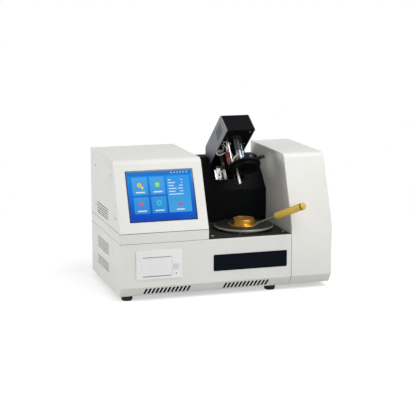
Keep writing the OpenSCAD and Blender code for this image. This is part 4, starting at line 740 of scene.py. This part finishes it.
def newPointTree(name, inputs):
    return newTree(name, "GeometryNodeTree", [("Geometry", "NodeSocketGeometry", None)] + inputs,
                   [("Geometry", "NodeSocketGeometry")])


def spreadOnPoints(tree, given, result, shape, rotation, **sized):
    # a copy of the shape on every point, turned and sized by the point's own values
    spread = addNode(tree, "GeometryNodeInstanceOnPoints", {
        "Points": given["Geometry"], "Instance": shape, "Rotation": rotation, **sized})
    real = addNode(tree, "GeometryNodeRealizeInstances", {"Geometry": spread.outputs[0]}).outputs[0]
    if "Finish" in given:
        real = addNode(tree, "GeometryNodeSetMaterial", {
            "Geometry": real, "Material": given["Finish"]}).outputs[0]
    tree.links.new(real, result[0])
    return tree


# screw heads: a low dome with a cross of dark bars that are painted shade for the recess, set on points that say which
# way they face and how wide they are
def makeScrewTree():
    tree, given, result = newPointTree("screwHeads", [
        ("Sides", "NodeSocketInt", 28), ("Height", "NodeSocketFloat", 0.35), ("Recess", "NodeSocketFloat", 0.62),
        ("Head", "NodeSocketMaterial", None), ("Slot", "NodeSocketMaterial", None)])
    cap = addNode(tree, "GeometryNodeMeshUVSphere", {"Segments": given["Sides"], "Rings": 10, "Radius": 1.0})
    scale = addNode(tree, "ShaderNodeCombineXYZ", {"X": 1.0, "Y": 1.0, "Z": given["Height"]})
    squash = addNode(tree, "GeometryNodeTransform", {"Geometry": cap.outputs["Mesh"], "Scale": scale.outputs[0]})
    head = addNode(tree, "GeometryNodeSetMaterial", {"Geometry": squash.outputs[0], "Material": given["Head"]})
    parts = [head.outputs[0]]
    for across, along in ((0.17, given["Recess"]), (given["Recess"], 0.17)):
        size = addNode(tree, "ShaderNodeCombineXYZ", {"X": across, "Y": along, "Z": 0.5})
        bar = addNode(tree, "GeometryNodeMeshCube", {"Size": size.outputs[0]})
        lift = addNode(tree, "ShaderNodeCombineXYZ", {"Z": math2(tree, "SUBTRACT", given["Height"], 0.2)})
        moved = addNode(tree, "GeometryNodeTransform", {"Geometry": bar.outputs["Mesh"],
                                                        "Translation": lift.outputs[0]})
        parts.append(addNode(tree, "GeometryNodeSetMaterial", {
            "Geometry": moved.outputs[0], "Material": given["Slot"]}).outputs[0])
    joined = addNode(tree, "GeometryNodeJoinGeometry")
    for part in parts:
        tree.links.new(part, joined.inputs[0])
    return spreadOnPoints(tree, given, result, joined.outputs[0], aimed(tree), Scale=fieldOf(tree, "radius", "FLOAT"))


# bars of any size, for the black sheets behind slots and vents, which are painted shade
def makeBarTree():
    tree, given, result = newPointTree("barRows", [("Finish", "NodeSocketMaterial", None)])
    cube = addNode(tree, "GeometryNodeMeshCube", {"Size": (1, 1, 1)})
    return spreadOnPoints(tree, given, result, cube.outputs["Mesh"], leaned(tree),
                          Scale=fieldOf(tree, "size", "FLOAT_VECTOR"))


# windings: a coil of round wire along Z on every point
def makeWindingTree():
    tree, given, result = newPointTree("windings", [
        ("Turns", "NodeSocketFloat", 12.0), ("Radius", "NodeSocketFloat", 5.0), ("Length", "NodeSocketFloat", 30.0),
        ("Wire", "NodeSocketFloat", 0.5), ("Finish", "NodeSocketMaterial", None)])
    helix = addNode(tree, "GeometryNodeCurveSpiral", {
        "Resolution": 20, "Rotations": given["Turns"], "Start Radius": given["Radius"],
        "End Radius": given["Radius"], "Height": given["Length"]})
    ring = addNode(tree, "GeometryNodeCurvePrimitiveCircle", {"Resolution": 8, "Radius": given["Wire"]})
    wound = addNode(tree, "GeometryNodeCurveToMesh", {
        "Curve": helix.outputs[0], "Profile Curve": ring.outputs[0], "Fill Caps": True})
    return spreadOnPoints(tree, given, result, wound.outputs[0], aimed(tree))


# rims: a flat frame with rounded corners round every point, for the edges of openings
def makeRimTree():
    tree, given, result = newPointTree("openingRims", [
        ("Width", "NodeSocketFloat", 4.0), ("Height", "NodeSocketFloat", 18.0), ("Corner", "NodeSocketFloat", 1.0),
        ("Band", "NodeSocketFloat", 1.0), ("Thickness", "NodeSocketFloat", 0.3),
        ("Finish", "NodeSocketMaterial", None)])
    outline = addNode(tree, "GeometryNodeCurvePrimitiveQuadrilateral", {
        "Width": given["Width"], "Height": given["Height"]})
    eased = addNode(tree, "GeometryNodeFilletCurve", {
        "Curve": outline.outputs[0], "Radius": given["Corner"], "Count": 5}, mode="POLY")
    section = addNode(tree, "GeometryNodeCurvePrimitiveQuadrilateral", {
        "Width": given["Band"], "Height": given["Thickness"]})
    rim = addNode(tree, "GeometryNodeCurveToMesh", {"Curve": eased.outputs[0], "Profile Curve": section.outputs[0]})
    return spreadOnPoints(tree, given, result, rim.outputs[0], leaned(tree))


screwTree, barTree, windingTree, rimTree = makeScrewTree(), makeBarTree(), makeWindingTree(), makeRimTree()


def screwsOf(rows):
    # rows are (place, facing, radius), the place in mm, or in metres when it is a Vector already
    return [{"at": at if isinstance(at, Vector) else place(*at), "facing": facing, "radius": radius * mm}
            for at, facing, radius in rows]


# dark bars on the screw heads: painted shade standing in for the cross recess
recessShadeBars = plastic("recessPaintedShade", "060606", "0A0A0A", 0.7)
screwNickel = metal("screwNickel", "D8D8D6", "A5A5A2", 0.35, stretch=(1, 1, 1), streak=0.3, Metallic=0.55)
coverScrew = {"radius": 4.0, "front": 33.0, "back": 250.0, "rows": (291.0, 195.0)}
coverRows = []
for z in coverScrew["rows"]:
    faceY = screen["run"] * (z - screen["foot"]) / screen["rise"]
    for y in (faceY + coverScrew["front"], coverScrew["back"]):
        coverRows.append(((0.0, y, z), (-1, 0, 0), coverScrew["radius"]))
        coverRows.append(((530.0, y, z), (1, 0, 0), coverScrew["radius"]))
for x in (237.0, 418.0):
    for y in (38.0, 171.0):
        coverRows.append(((x, y, 140.0), (0, 0, 1), coverScrew["radius"]))
coverScrews = bakeNodes("coverScrewHeads", screwTree, screwsOf(coverRows), "housing",
                        {"Sides": 28, "Height": 0.28, "Recess": 1.0, "Head": screwNickel, "Slot": recessShadeBars})
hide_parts("cover_screws")
rearScrew = {"radius": 3.0, "y": 306.5, "base": ((14.0, 411.0), (24.0, 127.0)), "head": ((12.0, 204.0), (177.0, 318.0)),
             "pod": ((437.0, 519.0), (24.0, 318.0))}
rearRows = [((x, rearScrew["y"], z), (0, 1, 0), rearScrew["radius"])
            for panel in ("base", "head", "pod") for x in rearScrew[panel][0] for z in rearScrew[panel][1]]
bakeNodes("rearScrewHeads", screwTree, screwsOf(rearRows), "housing",
          {"Sides": 24, "Height": 0.28, "Recess": 1.0, "Head": screwNickel, "Slot": recessShadeBars})
bm = bmesh.new()
addBlock(bm, (3.2, 304.8, 133.2), (422.8, 306.2, 138.2), partFrame, 0.2)
addBlock(bm, (3.4, 303.9, 134.0), (422.6, 304.9, 137.4), partFrame, 0.2)
finishPiece(bm, "rearSeal", finishes["rubber_black"], "housing")

# dark sheets and thin black rims for the slots of the front chamfer, and dark sheets behind the vents in the arm's
# sides: painted shade in the openings
chamfer = {"run": 16.0, "rise": 23.0, "low": 12.0, "starts": (62.0, 259.0), "count": 12, "pitch": 9.6, "lean": 14.0,
           "width": 3.4, "length": 17.0, "sunk": 0.45}
slope = math.atan2(chamfer["rise"], chamfer["run"])
slotMiddle = math.hypot(chamfer["run"], chamfer["rise"]) / 2
# black for the sheets and rims in the slots and vents: painted shade in the openings
slotShadeBlack = plastic("slotPaintedShade", "050505", "0A0A0A", 0.9, spark=400, bump=0.3, Specular_IOR_Level=0.1)
# the chamfer's own axes: along the front, up the slope, and out of the sheet
chamferFrame = partFrame @ Matrix.Translation((0, chamfer["run"] * mm, chamfer["low"] * mm)) @ Matrix.Rotation(
    math.pi - slope, 4, "X")
bars, rims = [], []
for start in chamfer["starts"]:
    for i in range(chamfer["count"]):
        turnedBar = chamferFrame @ Matrix.Translation(((start + i * chamfer["pitch"]) * mm, slotMiddle * mm, 0))
        turnedBar = turnedBar @ Matrix.Rotation(math.radians(-chamfer["lean"]), 4, "Z")
        inside = turnedBar @ Matrix.Translation((0, 0, -chamfer["sunk"] * mm))
        bars.append({"at": inside.translation, "size": (chamfer["width"] * mm, chamfer["length"] * mm, 0.0008),
                     "lean": Vector(inside.to_euler())})
        rims.append({"at": turnedBar.translation, "lean": Vector(inside.to_euler())})
bakeNodes("slotShadeSheets", barTree, bars, "housing", {"Finish": slotShadeBlack})
bakeNodes("slotShadeRims", rimTree, rims, "housing", {
    "Width": (chamfer["width"] + 0.8) * mm, "Height": (chamfer["length"] + 0.8) * mm, "Corner": 1.2 * mm,
    "Band": 0.95 * mm, "Thickness": 0.3 * mm, "Finish": slotShadeBlack})
shadeSheets = []
for x in (300.9, 373.1):
    at = armUp @ place(x, 127.5, 278.0)
    shadeSheets.append({"at": at, "size": (0.0008, 0.052, 0.032), "lean": (math.radians(-armTurn["angle"]), 0, 0)})
bakeNodes("armVentShadeSheets", barTree, shadeSheets, "lift_arm", {"Finish": slotShadeBlack})
print("screws and gauze placed")

# printer: dark strips in the gaps along the door and a mid-grey ring round the feed key, both painted shade in the
# gaps, and the ring mark on the key
keyAt = {"x": 134.5, "z": 81.2}
gapShadeAndKeyMarkGrey = plastic("gapShadeAndKeyMarkGrey", "77777A", "626265", 0.6, spark=600)
keyGapShadeGrey = plastic("keyGapShadeGrey", "9B9B9E", "88888B", 0.5, spark=600)
bm = bmesh.new()
for low, high in ((106.1, 107.2), (59.8, 60.9)):
    addBlock(bm, (54.0, -2.25, low), (121.5, -1.9, high), partFrame, 0.1)
finishPiece(bm, "doorGapShadeStrips", gapShadeAndKeyMarkGrey, "housing")
keyFrame = frameOnAxis(keyAt["x"], 0, keyAt["z"], (0, -1, 0))
lathe("keyGapShadeRing", [(5.7, 1.9), (6.6, 1.9), (6.6, 2.2), (6.4, 2.3), (5.9, 2.3), (5.7, 2.2)], keyFrame, keyGapShadeGrey,
      "housing", 48)
lathe("keyMark", [(1.7, 2.95), (2.5, 2.95), (2.5, 3.05), (1.7, 3.05)], keyFrame, gapShadeAndKeyMarkGrey, "feed_key", 32)

# dark strips in the grooves under and over the plinth, painted shade in the seams
bm = bmesh.new()
plinth = {"width": 216.0, "depth": 308.0}
for z, thick, back, inset in ((140.1, 0.6, 1.9, 0.7), (164.1, 1.0, 2.9, 0.9)):
    right, rear = plinth["width"], plinth["depth"]
    for low, high in (((inset, inset), (right - inset, back)), ((inset, rear - back), (right - inset, rear - inset)),
                      ((inset, back), (back, rear - back)), ((right - back, back), (right - inset, rear - back))):
        addBlock(bm, (low[0], low[1], z), (high[0], high[1], z + thick), partFrame, 0)
finishPiece(bm, "plinthSeamShadeStrips", finishes["rubber_black"], "housing")
print("printer trim and seamShadeStrips placed")


# lift arm: everything here is laid out with the arm down, then turned up with it
armFrame = armUp @ partFrame
shaftFrame = lidFrame @ Matrix.Translation((-0.004, 0.006, 0))
platedSteel = metal("nickelPlate", "EDEBE4", "B5B1A8", 0.34, stretch=(1, 1, 0.1), streak=0.3)
darkDrum = turned("drumAnodised", "30353C", "1B1E22", 0.32, lidFrame, marks=0.5, stain=0.3, pitch=1500.0, Metallic=0.8)
shaftSteel = metal("shaftSteel", "6C6B68", "3C3B39", 0.3, stretch=(1, 1, 0.05))
oxide = metal("blackOxide", "1C1C1D", "0C0C0C", 0.4)
# the lower stirrer tube is steel; its bright blue-grey tone is a painted highlight
tubeSteelBlueHighlight = metal("tubeBlueHighlight", "8593A3", "3F4853", 0.24, stretch=(1, 1, 0.03), streak=0.6)
tubeDark = plastic("tubeShade", "1A1C1F", "101113", 0.4, spark=700)
blockOlive = plastic("terminalOlive", "5E5B42", "474431", 0.5, spark=900)
copperWinding = metal("copperWinding", "A5603A", "5A2C1A", 0.32)
redWinding = metal("redWinding", "8A3A34", "4A1D1A", 0.36)
rodSteel = metal("handleSteel", "BDB9B0", "7D7A73", 0.36, stretch=(1, 1, 0.1), streak=0.3)
probeSteel = metal("probeSheath", "F2EEE4", "C9C2B2", 0.42, stretch=(1, 1, 0.1), streak=0.2, bump=0.02)
knobBlack = plastic("knobBlack", "0C0C0D", "161617", 0.3, spark=500)


def onLid(x, y, z):
    return lidFrame @ Vector((x * mm, y * mm, z * mm))


for node, finish in {"hinge_shaft": oxide, "lid_drives": darkDrum, "stirrer_shaft": oxide, "lift_gearmotor": oxide,
                     "shutter_grip": knobBlack, "cup_handle": rodSteel, "igniter_lever": shaftSteel,
                     "igniter_bracket": shaftSteel, "probes": probeSteel}.items():
    (softened.get(node) or frame["nodes"][node]).data.materials[0] = finish

# stirrer column: bright blue-grey steel below, dark above; the bright lower tone is a painted highlight
tube = {"bore": 2.05, "boss": 6.0, "radius": 8.5, "top": 80.2, "flange": 13.5, "low": 2.8, "split": 41.0}
lathe("stirrerColumn", [
    (tube["bore"], 0.02), (tube["boss"], 0.02), (tube["boss"], tube["low"]), (tube["radius"] - 0.4, tube["low"]),
    (tube["radius"], tube["low"] + 0.4), (tube["radius"], 12.0), (tube["radius"] - 0.5, 12.4),
    (tube["radius"] - 0.5, 13.2),
    (tube["radius"], 13.6), (tube["radius"], tube["split"]), (tube["radius"] + 0.5, tube["split"] + 0.3),
    (tube["radius"] + 0.5, tube["split"] + 4), (tube["radius"], tube["split"] + 4.4), (tube["radius"], 76.2),
    (tube["flange"] - 0.5, 76.2), (tube["flange"], 76.7), (tube["flange"], tube["top"]),
    (tube["bore"] + 2, tube["top"]),
    (tube["bore"] + 2, 12.0), (tube["bore"], 12.0)],
    shaftFrame, [tubeSteelBlueHighlight, tubeDark], "lift_arm", 72, ["stirrer_tube"], faces=[0] * 9 + [1] * 11)

coil = {"x": -33.5, "y": 9.0, "radius": 5.2, "low": 8.0, "high": 42.0, "cap": 3.0}
coilFrame = lidFrame @ Matrix.Translation((coil["x"] * mm, coil["y"] * mm, 0))
lathe("coilFormer", [
    (0, coil["low"] - 2), (coil["cap"], coil["low"] - 2), (coil["cap"], coil["low"]), (coil["radius"], coil["low"]),
    (coil["radius"], coil["low"] + 1.2), (4.3, coil["low"] + 1.2), (4.3, 24.4), (coil["radius"], 24.4),
    (coil["radius"], 25.6),
    (4.3, 25.6), (4.3, coil["high"] - 1.2), (coil["radius"], coil["high"] - 1.2), (coil["radius"], coil["high"]),
    (coil["cap"], coil["high"]), (coil["cap"], coil["high"] + 2), (0, coil["high"] + 2)],
    coilFrame, [finishes["coil_red"]], "lift_arm", 48, ["ignition_coil"])
axis = coilFrame.to_3x3() @ Vector((0, 0, 1))
for name, low, finish in (("lowerWinding", 9.5, copperWinding), ("upperWinding", 26.0, redWinding)):
    bakeNodes(name, windingTree, [{"at": coilFrame @ Vector((0, 0, low * mm)), "facing": axis}], "lift_arm",
              {"Turns": 17.0, "Radius": 4.6 * mm, "Length": 14.4 * mm, "Wire": 0.48 * mm, "Finish": finish}, 60)
bakeNodes("postSpring", windingTree, [{"at": onLid(-22, 25, 4), "facing": axis}], "lift_arm",
          {"Turns": 9.0, "Radius": 3.9 * mm, "Length": 26 * mm, "Wire": 0.45 * mm, "Finish": platedSteel}, 60)

# terminal block clamped to the column, with its bands and screws
block = {"x": (-19.0, -12.4), "y": (-4.5, 3.4), "z": (6.0, 27.0), "bandZ": (9.5, 21.5)}
bm = bmesh.new()
addBlock(bm, (block["x"][0], block["y"][0], block["z"][0]), (block["x"][1], block["y"][1], block["z"][1]), lidFrame,
         0.5)
addBlock(bm, (block["x"][0] - 0.6, block["y"][0] + 1.2, 15.4), (block["x"][1], block["y"][1] - 1.2, 17.0), lidFrame,
         0.2, 1)
finishPiece(bm, "terminalBlock", [blockOlive, tubeDark], "lift_arm")
for i, z in enumerate(block["bandZ"]):
    lathe("clampBand" + "AB"[i], [(8.52, z), (9.15, z), (9.15, z + 3), (8.52, z + 3)], shaftFrame, platedSteel,
          "lift_arm", 64)

# sensor bracket on the left of the arm
fork = {"x": 292.0, "y": 165.0, "z": 190.0, "inner": 8.0, "outer": 14.5, "deep": 9.0, "sheet": 1.4, "low": -28.5}
bm = bmesh.new()
forkFrame = armFrame @ Matrix.Translation((fork["x"] * mm, fork["y"] * mm, fork["z"] * mm))
addBlock(bm, (11, 0, 6), (19, 2, 60), forkFrame, 0.3, 1)
addBlock(bm, (-5, 0, 6), (19, 2, 14), forkFrame, 0.3, 1)
addBlock(bm, (-10, -3, -6), (10, 0, -1), forkFrame, 0.3)
for side in (-1, 1):
    web = sorted((side * fork["inner"], side * (fork["inner"] + fork["sheet"])))
    plate = sorted((side * fork["inner"], side * fork["outer"]))
    addBlock(bm, (web[0], -fork["deep"], -24), (web[1], 0, -1), forkFrame, 0.3)
    addBlock(bm, (plate[0], -fork["deep"], fork["low"]), (plate[1], -fork["deep"] + fork["sheet"], -1), forkFrame, 0.4)
addBlock(bm, (-8, -8.8, fork["low"]), (8, -8.0, fork["low"] + 1.0), forkFrame, 0.2)
outer = [(-5, 8), (-5, -17.5)] + [(-4.5, -20.5), (-3, -22), (3, -22), (4.5, -20.5)] + [(5, -17.5), (5, 8)]
holeRing = [(2.6 * math.cos(2 * math.pi * i / 24), -12 + 2.6 * math.sin(2 * math.pi * i / 24)) for i in range(24)]
for level in (0.0, 2.0):
    rim = [bm.verts.new(forkFrame @ (Vector((x, level, z)) * mm)) for x, z in outer]
    ring = [bm.verts.new(forkFrame @ (Vector((x, level, z)) * mm)) for x, z in holeRing]
    rimEdges = [bm.edges.new((rim[i], rim[(i + 1) % len(rim)])) for i in range(len(rim))]
    ringEdges = [bm.edges.new((ring[i], ring[(i + 1) % len(ring)])) for i in range(len(ring))]
    bmesh.ops.triangle_fill(bm, use_beauty=True, edges=rimEdges + ringEdges)
    if level == 0.0:
        front = (rim, ring)
for frontLoop, backLoop in ((front[0], rim), (front[1], ring)):
    for i in range(len(frontLoop)):
        j = (i + 1) % len(frontLoop)
        bm.faces.new((frontLoop[i], frontLoop[j], backLoop[j], backLoop[i]))
finishPiece(bm, "sensorBracket", [platedSteel, tubeDark], "lift_arm", ["sensor_fork"])
knobFrame = forkFrame @ Matrix.Translation((0, 0.001, -0.028))
lathe("sensorKnob", [(0, 0)] + arc(3.0, 1.0, 1.0, -90, 0, 3) + arc(3.0, 5.0, 1.0, 0, 90, 3) + [(0, 6)], knobFrame,
      knobBlack,
      "lift_arm", 32)

# spring finger that keeps the shutter plate down, lead loops and small hardware under the arm
bm = bmesh.new()
finger = [(3.6, -7.2, 80.0), (4.4, -7.2, 60.0), (5.4, -7.2, 30.0), (6.2, -7.2, 3.4), (8.0, -7.2, 2.3),
          (14.0, -7.2, 2.2)]
previous = None
for i, (x, y, z) in enumerate(finger):
    across = Vector((0, 1.3, 0))
    ahead = Vector(finger[min(i + 1, len(finger) - 1)]) - Vector(finger[max(i - 1, 0)])
    lift = ahead.cross(across).normalized() * 0.35
    ring = [bm.verts.new(lidFrame @ ((Vector((x, y, z)) + a * across + b * lift) * mm))
            for a, b in ((-1, -1), (1, -1), (1, 1), (-1, 1))]
    if previous:
        for k in range(4):
            bm.faces.new((previous[k], previous[(k + 1) % 4], ring[(k + 1) % 4], ring[k]))
    else:
        bm.faces.new(ring[::-1])
    previous = ring
bm.faces.new(previous)
finishPiece(bm, "shutterSpring", [oxide], "lift_arm")
for name, shift in (("leadLoopA", 0.0), ("leadLoopB", 2.6)):
    curveTube(name, [onLid(-25 - shift, 46, 79.5), onLid(-30, 44, 67 - shift), onLid(-41, 42, 66 - shift),
                     onLid(-50 + shift, 40, 57), onLid(-46 + shift, 38, 49.5 + shift), onLid(-38, 33, 49 + shift),
                     onLid(-33.5 + shift * 0.6, 18, 47), onLid(coil["x"] + shift * 0.6, coil["y"], 44.3)],
              0.85, finishes["wire_grey"], "lift_arm")
leads = {"probeA": [(-18, 8, 15.1), (-19.5, 10, 30), (-24, 20, 52), (-28, 29, 70), (-30, 32, 79.2)],
         "probeB": [(-13, 15.5, 15.1), (-15.5, 18, 30), (-18, 25, 52), (-15.5, 32, 70), (-14, 34, 79.2)],
         "coilTop": [(-33.5, 9, 45.1), (-31, 8, 58), (-20, 9, 66), (-22, 18, 74), (-33, 24, 79.2)]}
wires = [curveTube(name + "Lead", [onLid(*point) for point in points], 1.0, finishes["wire_grey"], "lift_arm")
         for name, points in leads.items()]
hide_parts("arm_wires")

down = armUp.to_3x3() @ Vector((0, 0, -1))
up = -down
smallScrews = [(onLid(-18.5, 38, 79.9), down, 2.4), (onLid(-31, 40, 79.9), down, 1.9),
               (onLid(26, -20, 79.9), down, 1.9),
               (onLid(26, 38, 79.9), down, 1.9), (onLid(-36.2, 4, 0.05), up, 1.9), (onLid(36.4, -9, 0.05), up, 2.1),
               (onLid(20, 31, 0.05), up, 1.9), (onLid(-20, 32, 0.05), up, 1.7), (onLid(30, 19, 0.05), up, 1.9),
               (onLid(19, 5, 27.0), up, 2.2)]
left = Vector((-1, 0, 0))
front = forkFrame.to_3x3() @ Vector((0, -1, 0))
smallScrews += [(forkFrame @ (Vector((15, 0, z)) * mm), front, 1.7) for z in (20, 52)]
smallScrews += [(lidFrame @ (Vector((block["x"][0] - 0.02, -0.6, z)) * mm), left, 1.5) for z in (10.5, 22.0)]
bakeNodes("lidScrewHeads", screwTree, screwsOf(smallScrews), "lift_arm",
          {"Sides": 20, "Height": 0.42, "Recess": 1.0, "Head": platedSteel, "Slot": recessShadeBars})
print("lid dressed")
